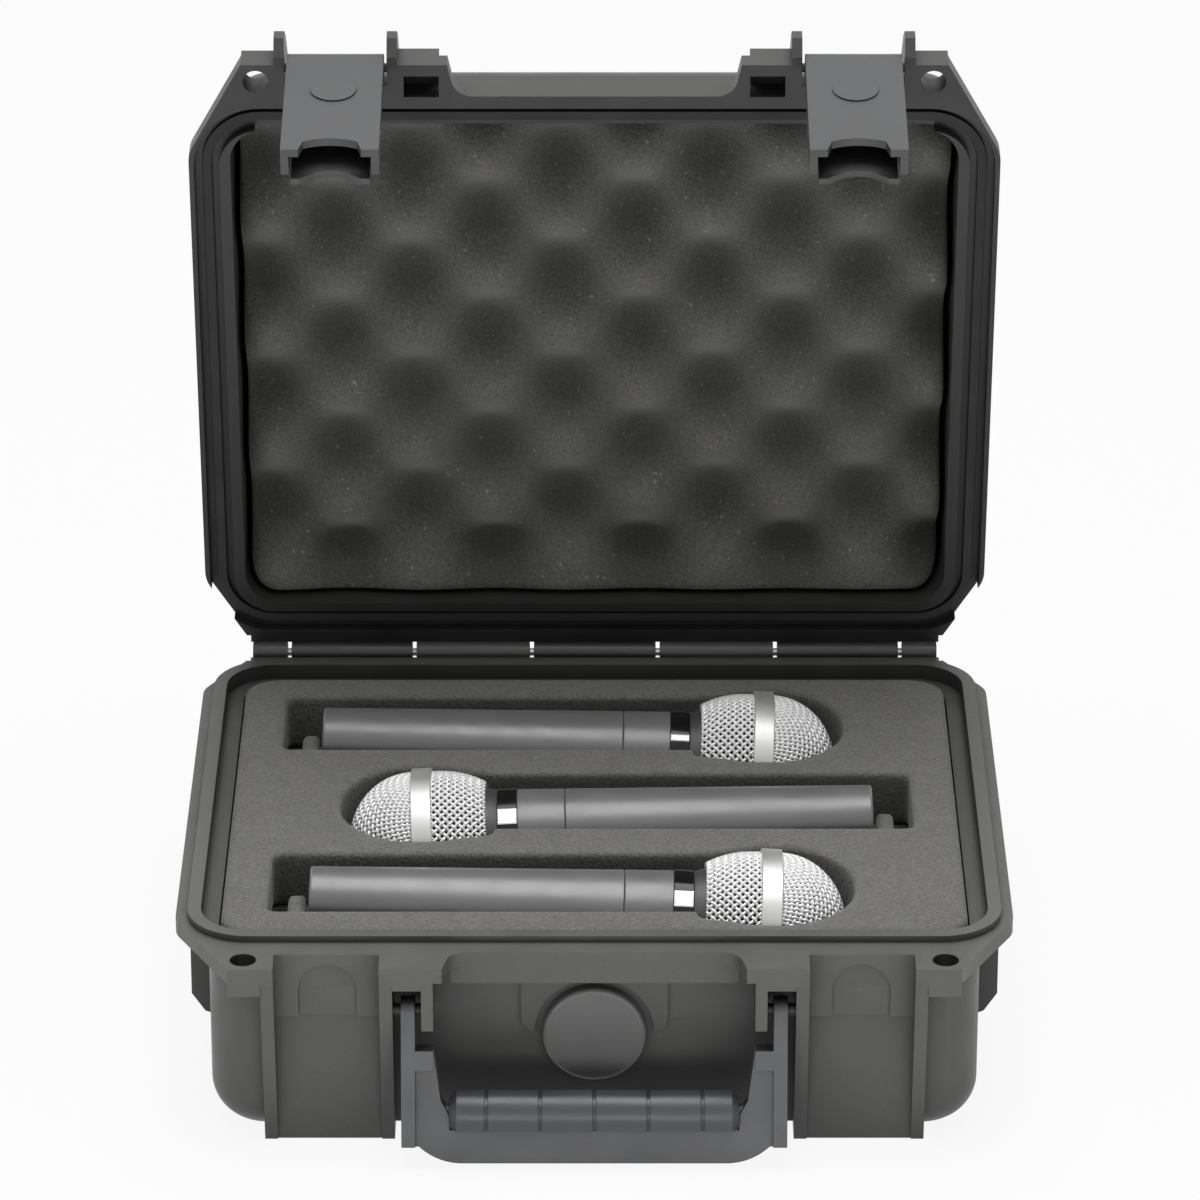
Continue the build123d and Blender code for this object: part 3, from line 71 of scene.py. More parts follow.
# ---------------------------------------------------------------- camera and light
CAMERA_PITCH = 24.79
CAMERA_LENS = 200.8
CAMERA_SENSOR = 36.0
CAMERA_PLACE = (0.0018, -1.97165, 1.053)
KEY_ENERGY = 26.0
KEY_PLACE = (0.0, 0.15, 1.75)
KEY_SIZE = (1.3, 1.4)
KEY_AIM = (0, 0, 0.1)
FILL_ENERGY = 0.6
FILL_PLACE = (0.0, -1.9, 0.7)
FILL_SIZE = (2.4, 0.8)
FILL_AIM = (0, 0, 0.1)
CARD_ENERGY = 1.1  # light thrown up by the pale floor just before the case
CARD_PLACE = (0.0, -0.36, 0.01)
CARD_SIZE = (0.7, 0.16)
CARD_AIM = (0, 0, 0.3)
WORLD_LIGHT = 0.2
FLOOR_COLOR = (0.9, 0.9, 0.9)
FLOOR_GLOW = 0.9  # share of plain white in what the camera sees of the floor
FLOOR_SIZE = 6.0
FLOOR_BACK = 0.5  # from the origin back to the middle of the floor
FLOOR_DROP = 0.2 * MM

# ---------------------------------------------------------------- sizes of what is modelled here
EDGE = 0.45 * MM
EDGE_SMALL = 0.25 * MM
EDGE_SEGMENTS = 2
EDGE_ANGLE = math.radians(35)  # edges that turn by more than this are softened
WELD_DISTANCE = 0.005 * MM
END_BAND = 0.1 * MM  # length at each end of a turned piece in which its radius is read
LID_OPEN = math.radians(80)
FOAM_VOXEL = 1.3 * MM
FOAM_SMOOTH_STEPS = 4
FOAM_SMOOTH_FACTOR = 0.5
LID_FOAM_PITCH_X = 50.2 * MM
LID_FOAM_PITCH_W = 45.6 * MM
LID_FOAM_PHASE_X = 13.5 * MM
LID_FOAM_PHASE_W = 191.0 * MM
LID_FOAM_TURN = math.radians(0.9)
LID_FOAM_PEAK = 10.6 * MM
LID_FOAM_VALLEY = 27.0 * MM
LID_FOAM_STEP = 1.5 * MM
LID_FOAM_EDGE = 4.6 * MM  # mating plane to the edge that is squeezed up at the hinge side
LID_FOAM_EDGE_WIDTH = 15.0 * MM
LID_FOAM_EDGE_WAVE = 2.6 * MM
LID_FOAM_CORNER = 10.0 * MM
WIRE_RADIUS = 0.54 * MM
WIRE_SIDES = 6
WEAVE_DEPTH = 0.3 * MM
MESH_PITCH = 1.85 * MM
GRILLE_BULGE = 2.4  # how fast the rear mesh swells from the collar
WIRE_OVERRUN = 0.3 * MM  # how far the rear mesh runs on past its ends
REAR_STOPS = 4  # points per cell along a wire of the rear mesh
DOME_STOPS = 4  # points per cell along a wire of the dome
DOME_TURN = math.radians(45)
DOME_LINE_SHARE = 0.9999  # keeps the ends of the dome's wires inside its rim
LINER_DEPTH = 1.3 * MM
LINER_INSET = 0.2 * MM
LINER_HOLE_RADIUS = 4.0 * MM
LINER_TIP_RADIUS = 0.01 * MM
LINER_ARC_STEPS = 14
LINER_SEGMENTS = 64
# a bright plate on each ring, a painted highlight where the key light's reflection falls
HIGHLIGHT_ELEVATION = math.radians(53)
PATCH_LIFT = 0.12 * MM
PATCH_RIM = 1.6  # lift of the plate's raised edge against that of its face
PATCH_BORDER = 0.35 * MM
PATCH_END_GAP = 0.1 * MM
PATCH_SINK = 0.3 * MM
PATCH_ROWS = 12
PATCH_HEIGHT = {"back": 2.4 * MM, "middle": 5.6 * MM, "front": 5.6 * MM}

# ---------------------------------------------------------------- surface textures
# noise: scale and detail, and where it is a third value, its roughness
# factor: the lowest and highest factor that the noise gives
# range: values read, then the factors at their low and high end
NOISE_RANGE = (0.3, 0.7)
# rubbed edges with a painted highlight, and painted shade in creases
POINTED_RANGE = (0.46, 0.54)
# painted shade: corners, creases and gaps darkened by ambient occlusion
CREVICE_SHADE_SAMPLES = 4
CREVICE_SHADE_RANGE = (0.3, 0.88)
# faces painted lighter or darker by the way they look: painted light and shade
FACING_LIGHT_RANGE = (0.7, 0.95)
FLOW_NOISE, FLOW_FACTOR = (22.0, 4.0), (0.94, 1.06)
SPECK_NOISE, SPECK_FACTOR = (1500.0, 2.0), (0.95, 1.05)
RUB_NOISE, RUB_DOWN, RUB_UP = (60.0, 5.0), 0.06, 0.08
FINE_NOISE, FINE_DEPTH, FINE_STRENGTH = (1700.0, 2.0), 0.12 * MM, 0.35
COARSE_NOISE, COARSE_DEPTH, COARSE_STRENGTH = (700.0, 3.0), 0.15 * MM, 0.25
FOAM_ROUGHNESS = 0.95
FOAM_SHEEN, FOAM_SHEEN_ROUGHNESS = 0.25, 0.6
# the foam's painted shade in corners and gaps
FOAM_CREVICE_SHADE = (14 * MM, 0.4)  # reach, and factor in the deepest corner
CELL_DEPTH, CELL_STRENGTH = 0.35 * MM, 0.7
PORE_RANGE = (0.1, 0.6, 0.8, 1.1)
MOTTLE_NOISE, MOTTLE_FACTOR = (90.0, 6.0, 0.7), (0.9, 1.1)
FLECK_NOISE, FLECK_FACTOR = (1100.0, 2.0), (0.74, 1.26)
# peaks painted lighter and valleys darker: rubbed peaks, and painted light and shade
PROUD_LIGHT_AND_SHADE_RANGE = (0.25, 1.0, 0.72, 1.42)
LINT_NOISE, LINT_RANGE = (420.0, 1.0), (0.72, 0.76, 1.0, 2.2)
UNEVEN_NOISE, UNEVEN_DEPTH, UNEVEN_STRENGTH = (260.0, 5.0, 0.7), 0.5 * MM, 0.12
SMUDGE_NOISE, SMUDGE_DOWN, SMUDGE_UP = (120.0, 4.0), 0.05, 0.07
TARNISH_NOISE, TARNISH_FACTOR = (45.0, 3.0), (0.95, 1.04)
# painted shade in the corners of painted metal
PAINT_CREVICE_SHADE = (12 * MM, 0.45)
PAINT_NOISE, BARE_NOISE = (2600.0, 2.0), (1400.0, 2.0)
METAL_DEPTH, METAL_STRENGTH = 0.05 * MM, 0.12
BRUSHED_STRENGTH, PAINT_STRENGTH = 0.3, 0.2


# ================================================================ materials
def new_material(name, color, roughness, metallic=0.0):
    """A Principled material, with its node tree, shader and object coordinates."""
    material = bpy.data.materials.new(name)
    material.use_nodes = True
    nodes = material.node_tree.nodes
    shader = nodes["Principled BSDF"]
    shader.inputs["Base Color"].default_value = (*color, 1)
    shader.inputs["Roughness"].default_value = roughness
    shader.inputs["Metallic"].default_value = metallic
    place = nodes.new("ShaderNodeTexCoord")
    return material, nodes, material.node_tree.links, shader, place.outputs["Object"]


def noise(nodes, links, place, scale, detail=3.0, rough=0.5):
    texture = nodes.new("ShaderNodeTexNoise")
    texture.inputs["Scale"].default_value = scale
    texture.inputs["Detail"].default_value = detail
    texture.inputs["Roughness"].default_value = rough
    links.new(place, texture.inputs["Vector"])
    return texture.outputs["Fac"]


def remap(nodes, links, value, low, high, to_low, to_high):
    change = nodes.new("ShaderNodeMapRange")
    change.inputs["From Min"].default_value = low
    change.inputs["From Max"].default_value = high
    change.inputs["To Min"].default_value = to_low
    change.inputs["To Max"].default_value = to_high
    links.new(value, change.inputs["Value"])
    return change.outputs["Result"]


def varied(nodes, links, place, look, low, high):
    """A factor between low and high that follows a noise texture."""
    return remap(nodes, links, noise(nodes, links, place, *look), *NOISE_RANGE, low, high)


def multiply(nodes, links, first, second):
    product = nodes.new("ShaderNodeMath")
    product.operation = "MULTIPLY"
    links.new(first, product.inputs[0])
    links.new(second, product.inputs[1])
    return product.outputs["Value"]


def shade(nodes, links, color, factor):
    """A colour scaled by a factor that varies over the surface."""
    scaled = nodes.new("ShaderNodeVectorMath")
    scaled.operation = "SCALE"
    scaled.inputs[0].default_value = color
    links.new(factor, scaled.inputs["Scale"])
    return scaled.outputs["Vector"]


def bump(nodes, links, height, distance, strength, before=None):
    node = nodes.new("ShaderNodeBump")
    node.inputs["Distance"].default_value = distance
    node.inputs["Strength"].default_value = strength
    links.new(height, node.inputs["Height"])
    if before:
        links.new(before, node.inputs["Normal"])
    return node.outputs["Normal"]


def edge_wear_and_crease_shade(nodes, links, gain):
    """A factor of 1 on flat faces that rises on outer edges, rubbed and with a painted
    highlight, and falls in creases with painted shade.
    """
    geometry = nodes.new("ShaderNodeNewGeometry")
    pointed = geometry.outputs["Pointiness"]
    return remap(nodes, links, pointed, *POINTED_RANGE, 1 - gain, 1 + gain)


def painted_crevice_shade(nodes, links, distance, shade_darkest):
    """A factor of 1 in the open that falls to its darkest value in corners and gaps: painted
    shade, read from ambient occlusion."""
    closeness = nodes.new("ShaderNodeAmbientOcclusion")
    closeness.samples = CREVICE_SHADE_SAMPLES
    closeness.inputs["Distance"].default_value = distance
    return remap(nodes, links, closeness.outputs["AO"], *CREVICE_SHADE_RANGE, shade_darkest, 1.0)


def painted_facing_light(nodes, links, facing, smooth, other_faces):
    """One value on faces that look along facing and one elsewhere: painted light and shade by
    the way a face looks.
    """
    surface = nodes.new("ShaderNodeTexCoord")
    along = nodes.new("ShaderNodeVectorMath")
    along.operation = "DOT_PRODUCT"
    along.inputs[1].default_value = facing
    links.new(surface.outputs["Normal"], along.inputs[0])
    return remap(nodes, links, along.outputs["Value"], *FACING_LIGHT_RANGE, other_faces, smooth)


def plastic(name, color, roughness=0.5, grain=1.0, edge_gain=0.08, specular=0.5, painted_facing=None,
            shade_darkest=0.22, shade_reach=16 * MM):
    """Moulded plastic with a fine spark-eroded grain, faint flow marks, rubbed edges with a
    painted highlight, and painted shade in creases, corners and gaps. Its direction-and-factor
    argument makes faces that look along the direction lighter or darker by the factor:
    painted light and shade."""
    material, nodes, links, shader, place = new_material(name, color, roughness)
    shader.inputs["Specular IOR Level"].default_value = specular
    cloud = varied(nodes, links, place, FLOW_NOISE, *FLOW_FACTOR)
    speck = varied(nodes, links, place, SPECK_NOISE, *SPECK_FACTOR)
    # lighter rubbed edges with a painted highlight, darker creases with painted shade
    edge_wear_and_shade = edge_wear_and_crease_shade(nodes, links, edge_gain)
    tone = multiply(nodes, links, multiply(nodes, links, cloud, speck), edge_wear_and_shade)
    # painted shade in corners, creases and gaps
    if shade_darkest < 1:
        tone = multiply(nodes, links, tone, painted_crevice_shade(nodes, links, shade_reach, shade_darkest))
    # faces that look along a direction painted lighter or darker: painted light and shade
    if painted_facing:
        facing, share = painted_facing
        tone = multiply(nodes, links, tone, painted_facing_light(nodes, links, facing, share, 1.0))
    links.new(shade(nodes, links, color, tone), shader.inputs["Base Color"])
    gloss = varied(nodes, links, place, RUB_NOISE, roughness - RUB_DOWN, roughness + RUB_UP)
    links.new(gloss, shader.inputs["Roughness"])
    height = noise(nodes, links, place, *FINE_NOISE)
    fine = bump(nodes, links, height, FINE_DEPTH, FINE_STRENGTH * grain)
    height = noise(nodes, links, place, *COARSE_NOISE)
    coarse = bump(nodes, links, height, COARSE_DEPTH, COARSE_STRENGTH * grain, fine)
    links.new(coarse, shader.inputs["Normal"])
    return material


def foam(name, color, cell=900.0, relief=False):
    """Open-cell foam: fine cells, a mottled surface, a soft sheen and painted shade in corners
    and gaps. With relief, the mesh's own "proud" value lightens the peaks, which are rubbed and
    carry painted light, and darkens the valleys with painted shade."""
    material, nodes, links, shader, place = new_material(name, color, FOAM_ROUGHNESS)
    shader.inputs["Sheen Weight"].default_value = FOAM_SHEEN
    shader.inputs["Sheen Roughness"].default_value = FOAM_SHEEN_ROUGHNESS
    cells = nodes.new("ShaderNodeTexVoronoi")
    cells.inputs["Scale"].default_value = cell
    links.new(place, cells.inputs["Vector"])
    mottle = varied(nodes, links, place, MOTTLE_NOISE, *MOTTLE_FACTOR)
    pores = remap(nodes, links, cells.outputs["Distance"], *PORE_RANGE)
    fleck = varied(nodes, links, place, FLECK_NOISE, *FLECK_FACTOR)
    pores = multiply(nodes, links, pores, fleck)
    tone = multiply(nodes, links, mottle, pores)
    # painted shade in corners and gaps
    tone = multiply(nodes, links, tone, painted_crevice_shade(nodes, links, *FOAM_CREVICE_SHADE))
    if relief:
        proud = nodes.new("ShaderNodeAttribute")
        proud.attribute_name = "proud"
        # lighter rubbed peaks with painted light, and valleys darkened with painted shade
        peak_light_valley_shade = remap(nodes, links, proud.outputs["Fac"], *PROUD_LIGHT_AND_SHADE_RANGE)
        tone = multiply(nodes, links, tone, peak_light_valley_shade)
        lint = remap(nodes, links, noise(nodes, links, place, *LINT_NOISE), *LINT_RANGE)
        tone = multiply(nodes, links, tone, lint)
    links.new(shade(nodes, links, color, tone), shader.inputs["Base Color"])
    deep = bump(nodes, links, cells.outputs["Distance"], CELL_DEPTH, CELL_STRENGTH)
    height = noise(nodes, links, place, *UNEVEN_NOISE)
    uneven = bump(nodes, links, height, UNEVEN_DEPTH, UNEVEN_STRENGTH, deep)
    links.new(uneven, shader.inputs["Normal"])
    return material


def metal(name, color, roughness, brushed=0.0, paint=0.0, metallic=1.0):
    """Metal with faint smudges; brushed and paint add to its fine relief, and painted metal
    is darker in corners and gaps with painted shade."""
    material, nodes, links, shader, place = new_material(name, color, roughness, metallic)
    dull, bright = roughness + SMUDGE_UP, roughness - SMUDGE_DOWN
    gloss = varied(nodes, links, place, SMUDGE_NOISE, bright, dull)
    links.new(gloss, shader.inputs["Roughness"])
    tone = varied(nodes, links, place, TARNISH_NOISE, *TARNISH_FACTOR)
    # painted shade in the corners of painted metal
    if paint:
        tone = multiply(nodes, links, tone, painted_crevice_shade(nodes, links, *PAINT_CREVICE_SHADE))
    links.new(shade(nodes, links, color, tone), shader.inputs["Base Color"])
    height = noise(nodes, links, place, *(PAINT_NOISE if paint else BARE_NOISE))
    strength = METAL_STRENGTH + BRUSHED_STRENGTH * brushed + PAINT_STRENGTH * paint
    links.new(bump(nodes, links, height, METAL_DEPTH, strength), shader.inputs["Normal"])
    return material


# the base's faces that look up are painted lighter: painted light
BASE_CASE = plastic("base_plastic", (0.080, 0.080, 0.077), 0.42, painted_facing=((0, 0, 1), 1.5),
                    shade_reach=34 * MM)
# the lid's plastic is a darker copy of the base's, with painted shade on its faces that look out of its open side
LID_FACING = (0, -math.sin(LID_OPEN), -math.cos(LID_OPEN))
LID_CASE_SHADED = plastic("lid_plastic_shaded", (0.042, 0.042, 0.0405), 0.42, painted_facing=(LID_FACING, 0.5))
LATCH = plastic("latch_plastic", (0.061, 0.0625, 0.0650), 0.42, grain=0.7)
HANDLE = plastic("handle_plastic", (0.062, 0.0635, 0.067), 0.42, grain=0.6)
GRIP = plastic("grip_plastic", (0.050, 0.052, 0.056), 0.36, grain=0.5)
DISC = plastic("disc_plastic", (0.120, 0.120, 0.118), 0.4, grain=0.5, shade_darkest=1.0)
GASKET = plastic("gasket_rubber", (0.020, 0.020, 0.020), 0.7, grain=0.6, edge_gain=0.1)
BASE_FOAM = foam("base_foam", (0.150, 0.148, 0.140))
LID_FOAM = foam("lid_foam", (0.094, 0.093, 0.084), relief=True)
PIN = metal("pin_steel", (0.42, 0.42, 0.42), 0.35, brushed=0.4)
DARK_PIN = metal("pin_blackened", (0.030, 0.030, 0.031), 0.45, brushed=0.4, metallic=0.5)
SPRING = metal("spring_steel", (0.5, 0.5, 0.5), 0.3)
MIC_PAINT = metal("mic_paint", (0.20, 0.20, 0.20), 0.34, paint=0.6, metallic=0.15)
MIC_RING = plastic("mic_ring_gloss", (0.010, 0.010, 0.010), 0.15, grain=0.0, edge_gain=0.1,
                   specular=0.3)
MIC_COLLAR = metal("mic_collar", (0.075, 0.075, 0.077), 0.42, metallic=0.3)
MIC_BAND = metal("mic_band", (0.62, 0.62, 0.61), 0.42, metallic=0.6)
MIC_WIRE = metal("mic_mesh_wire", (0.93, 0.93, 0.93), 0.34, metallic=0.25)
MIC_LINER = foam("mic_liner", (0.020, 0.020, 0.020), cell=1400.0)
# painted highlight on the rings
MIC_HIGHLIGHT_PLATE = metal("mic_painted_highlight", (0.86, 0.86, 0.86), 0.34, metallic=0.3)
CONTACT = metal("contact_metal", (0.72, 0.6, 0.34), 0.25)
INSERT = plastic("mic_insert", (0.02, 0.02, 0.02), 0.5)


# ================================================================ mesh helpers
def piece(name, verts, faces, material, body, smooth=True):
    """A mesh object that rides on a body and takes its finish from a slot."""
    mesh = bpy.data.meshes.new(name)
    mesh.from_pydata([tuple(v) for v in verts], [], faces)
    mesh.update()
    mesh.materials.append(material)
    obj = bpy.data.objects.new(name, mesh)
    bpy.context.scene.collection.objects.link(obj)
    for polygon in mesh.polygons:
        polygon.use_smooth = smooth
    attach(obj, body)
    return obj


def body_name(node):
    bodies = frame["record"]["behaviour"]["bodies"]
    return next(body for body, members in bodies.items() if node in members)


def axis_frame(start, end):
    """Unit vectors along a line and across it."""
    along = (end - start).normalized()
    side = along.cross(Vector((0, 1, 0))).normalized()
    up = along.cross(side).normalized()
    return along, side, up


def centre(node):
    low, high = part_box(node)
    return (Vector(low) + Vector(high)) / 2


def turned_reach(node, origin, along):
    """Axial start and end of a turned CAD piece, and its outer radius at each."""
    mesh = frame["nodes"][node].data
    points = np.empty(len(mesh.vertices) * 3)
    mesh.vertices.foreach_get("co", points)
    offset = points.reshape(-1, 3) - np.array(origin)
    axial = offset @ np.array(along)
    radial = np.linalg.norm(offset - np.outer(axial, np.array(along)), axis=1)
    near = radial[axial < axial.min() + END_BAND].max()
    far = radial[axial > axial.max() - END_BAND].max()
    return axial.min(), axial.max(), near, far


def lathe(profile, origin, along, side, up, segments):
    """Vertices and faces of (axial, radial) points turned about an axis."""
    verts = []
    for k in range(segments):
        angle = 2 * math.pi * k / segments
        outward = side * math.cos(angle) + up * math.sin(angle)
        verts += [origin + along * a + outward * r for a, r in profile]
    count = len(profile)
    faces = []
    for k in range(segments):
        here, there = k * count, (k + 1) % segments * count
        faces += [(here + i, there + i, there + i + 1, here + i + 1) for i in range(count - 1)]
    return verts, faces


def tube(path, radius, outward, verts, faces):
    """Adds a round wire along a list of points; outward gives each point's surface normal."""
    start = len(verts)
    for i, point in enumerate(path):
        ahead = path[min(i + 1, len(path) - 1)] - path[max(i - 1, 0)]
        along = ahead.normalized()
        normal = outward[i]
        across = along.cross(normal).normalized()
        normal = across.cross(along)
        for k in range(WIRE_SIDES):
            angle = 2 * math.pi * k / WIRE_SIDES
            verts.append(point + (across * math.cos(angle) + normal * math.sin(angle)) * radius)
    for i in range(len(path) - 1):
        for k in range(WIRE_SIDES):
            a, b = start + i * WIRE_SIDES + k, start + i * WIRE_SIDES + (k + 1) % WIRE_SIDES
            faces.append((a, b, b + WIRE_SIDES, a + WIRE_SIDES))
    faces.append(tuple(start + k for k in reversed(range(WIRE_SIDES))))
    last = start + (len(path) - 1) * WIRE_SIDES
    faces.append(tuple(last + k for k in range(WIRE_SIDES)))


def dress(node, material, edge=EDGE):
    """Gives a CAD node its material and softens its sharp edges."""
    obj = frame["nodes"][node]
    obj.data.materials.clear()
    obj.data.materials.append(material)
    weld = obj.modifiers.new("weld", "WELD")
    weld.merge_threshold = WELD_DISTANCE
    if edge:
        soften = obj.modifiers.new("soften", "BEVEL")
        soften.width = edge
        soften.segments = EDGE_SEGMENTS
        soften.limit_method = "ANGLE"
        soften.angle_limit = EDGE_ANGLE
        soften.use_clamp_overlap = True
    obj.modifiers.new("normals", "WEIGHTED_NORMAL")


# ================================================================ CAD pieces
dress("base_shell", BASE_CASE)
dress("lid_shell", LID_CASE_SHADED)
dress("lid_gasket", GASKET, EDGE_SMALL)
dress("hinge_pin", PIN, 0)
dress("handle_pins", DARK_PIN, 0)
dress("latch_pins", DARK_PIN, 0)
dress("front_disc", DISC, EDGE_SMALL)
dress("handle_frame", HANDLE)
dress("handle_grip", GRIP)
for side in ("left", "right"):
    dress(f"latch_{side}_body", LATCH, EDGE_SMALL)
    dress(f"latch_{side}_cap", LATCH, EDGE_SMALL)
    dress(f"latch_{side}_trigger", LATCH, EDGE_SMALL)
    dress(f"latch_{side}_trigger_pin", PIN, 0)
    dress(f"latch_{side}_trigger_spring", SPRING, 0)

MIC_NAMES = ("back", "middle", "front")
for mic in MIC_NAMES:
    dress(f"mic_{mic}_body", MIC_PAINT, EDGE_SMALL)
    dress(f"mic_{mic}_barrel", MIC_PAINT, EDGE_SMALL)
    dress(f"mic_{mic}_ring", MIC_RING, EDGE_SMALL)
    dress(f"mic_{mic}_collar", MIC_COLLAR, EDGE_SMALL)
    dress(f"mic_{mic}_head_band", MIC_BAND, EDGE)
    dress(f"mic_{mic}_connector", INSERT, 0)
    dress(f"mic_{mic}_capsule", INSERT, 0)
    dress(f"mic_{mic}_contact_pins", CONTACT, 0)


# ================================================================ base foam
def soft_copy(node, name, material):
    """A remeshed copy of a foam sheet, with softened edges."""
    source = frame["nodes"][node]
    mesh = source.data.copy()
    mesh.name = name
    obj = bpy.data.objects.new(name, mesh)
    bpy.context.scene.collection.objects.link(obj)
    remesh = obj.modifiers.new("remesh", "REMESH")
    remesh.mode = "VOXEL"
    remesh.voxel_size = FOAM_VOXEL * 1
    relax = obj.modifiers.new("relax", "SMOOTH")
    relax.iterations = FOAM_SMOOTH_STEPS
    relax.factor = FOAM_SMOOTH_FACTOR
    graph = bpy.context.evaluated_depsgraph_get()
    final = bpy.data.meshes.new_from_object(obj.evaluated_get(graph))
    obj.modifiers.clear()
    obj.data = final
    final.materials.clear()
    final.materials.append(material)
    for polygon in final.polygons:
        polygon.use_smooth = True
    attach(obj, body_name(node))
    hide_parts(node)


for layer in ("top", "middle", "floor"):
    soft_copy(f"foam_{layer}_layer", f"foam_{layer}_sheet", BASE_FOAM)


# ================================================================ lid foam
HINGE = next(Vector(j["pos_m"]) for j in frame["joints"] if j["name"] == "lid_hinge")
LID_TURN = Matrix.Translation(HINGE) @ Matrix.Rotation(-LID_OPEN, 4, "X")


def lid_point(x, w, n):
    return LID_TURN @ Vector((x, -w, n))


def lid_coordinates(node):
    """Lowest and highest (x, w, n) of a CAD node in the lid's own plane."""
    back = LID_TURN.inverted()
    points = [back @ v.co for v in frame["nodes"][node].data.vertices]
    x = [p.x for p in points]
    w = [-p.y for p in points]
    n = [p.z for p in points]
    return (min(x), min(w), min(n)), (max(x), max(w), max(n))


def egg_crate(x, w):
    """How far the foam's face stands proud at (x, w), from 0 in a valley to 1 on a peak."""
    dx, dw = x - LID_FOAM_PHASE_X, w - LID_FOAM_PHASE_W
    turned_x = dx * math.cos(LID_FOAM_TURN) + dw * math.sin(LID_FOAM_TURN)
    turned_w = dw * math.cos(LID_FOAM_TURN) - dx * math.sin(LID_FOAM_TURN)
    wave = math.cos(2 * math.pi * turned_x / LID_FOAM_PITCH_X) * math.cos(
        2 * math.pi * turned_w / LID_FOAM_PITCH_W
    )
    return 0.5 + 0.5 * wave


def foam_face(x, w, edge_w):
    """The n of the foam's face at (x, w): egg crate, squeezed up along the hinge side."""
    proud = egg_crate(x, w)
    n = LID_FOAM_VALLEY + (LID_FOAM_PEAK - LID_FOAM_VALLEY) * proud
    share = min(max(1 - (w - edge_w) / LID_FOAM_EDGE_WIDTH, 0.0), 1.0)
    share = share * share * (3 - 2 * share)
    edge = LID_FOAM_EDGE + LID_FOAM_EDGE_WAVE * (1 - proud)
    return n + (edge - n) * share


def convoluted_foam():
    """Convoluted foam: an egg-crate face, its cut edge all round, and a flat back."""
    low, high = lid_coordinates("lid_foam")
    half_x, w_low, w_high, back = high[0], low[1], high[1], high[2]
    corner = LID_FOAM_CORNER
    columns = int(2 * half_x / LID_FOAM_STEP)
    rows = int((w_high - w_low) / LID_FOAM_STEP)
    verts, faces, proud = [], [], []
    for row in range(rows + 1):
        w = w_low + (w_high - w_low) * row / rows
        for column in range(columns + 1):
            x = -half_x + 2 * half_x * column / columns
            # pull the grid's corners in to the rounded outline
            over_x = abs(x) - (half_x - corner)
            over_w = abs(w - (w_low + w_high) / 2) - ((w_high - w_low) / 2 - corner)
            px, pw = x, w
            if over_x > 0 and over_w > 0:
                longest = max(over_x, over_w)
                shrink = longest / math.hypot(over_x, over_w)
                px = math.copysign(half_x - corner + over_x * shrink, x)
                side = math.copysign(1, w - (w_low + w_high) / 2)
                pw = (w_low + w_high) / 2 + side * ((w_high - w_low) / 2 - corner + over_w * shrink)
            verts.append(lid_point(px, pw, foam_face(px, pw, w_low)))
            proud.append(egg_crate(px, pw))
    for row in range(rows):
        for column in range(columns):
            a = row * (columns + 1) + column
            faces.append((a, a + columns + 1, a + columns + 2, a + 1))
    rim = list(range(columns + 1))
    rim += [row * (columns + 1) + columns for row in range(1, rows + 1)]
    rim += [rows * (columns + 1) + column for column in reversed(range(columns))]
    rim += [row * (columns + 1) for row in reversed(range(1, rows))]
    first = len(verts)
    inverse = LID_TURN.inverted()
    for index in rim:
        place = inverse @ verts[index]
        verts.append(lid_point(place.x, -place.y, back))
    for i in range(len(rim)):
        j = (i + 1) % len(rim)
        faces.append((rim[i], rim[j], first + j, first + i))
    faces.append(tuple(first + i for i in reversed(range(len(rim)))))
    obj = piece("convoluted_lid_foam", verts, faces, LID_FOAM, "lid")
    heights = obj.data.attributes.new("proud", "FLOAT", "POINT")
    heights.data.foreach_set("value", proud + [0.0] * (len(verts) - len(proud)))
    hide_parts("lid_foam")


convoluted_foam()


# ================================================================ microphone heads
def woven(alpha_lines, beta_lines, surface, steps, verts, faces):
    """Two crossing families of wires. surface(alpha, beta) gives (point, normal) or None."""
    for family, lines in enumerate((alpha_lines, beta_lines)):
        for line in lines:
            path, normals = [], []

            def close():
                if len(path) > 2:
                    tube(path, WIRE_RADIUS, normals, verts, faces)

            for value in steps:
                spot = surface(line, value) if family == 0 else surface(value, line)
                if spot is None:
                    close()
                    path, normals = [], []
                    continue
                point, normal = spot
                sign = 1 if family == 0 else -1
                lift = sign * WEAVE_DEPTH * math.cos(math.pi * (line + value))
                path.append(point + normal * lift)
                normals.append(normal)
            close()


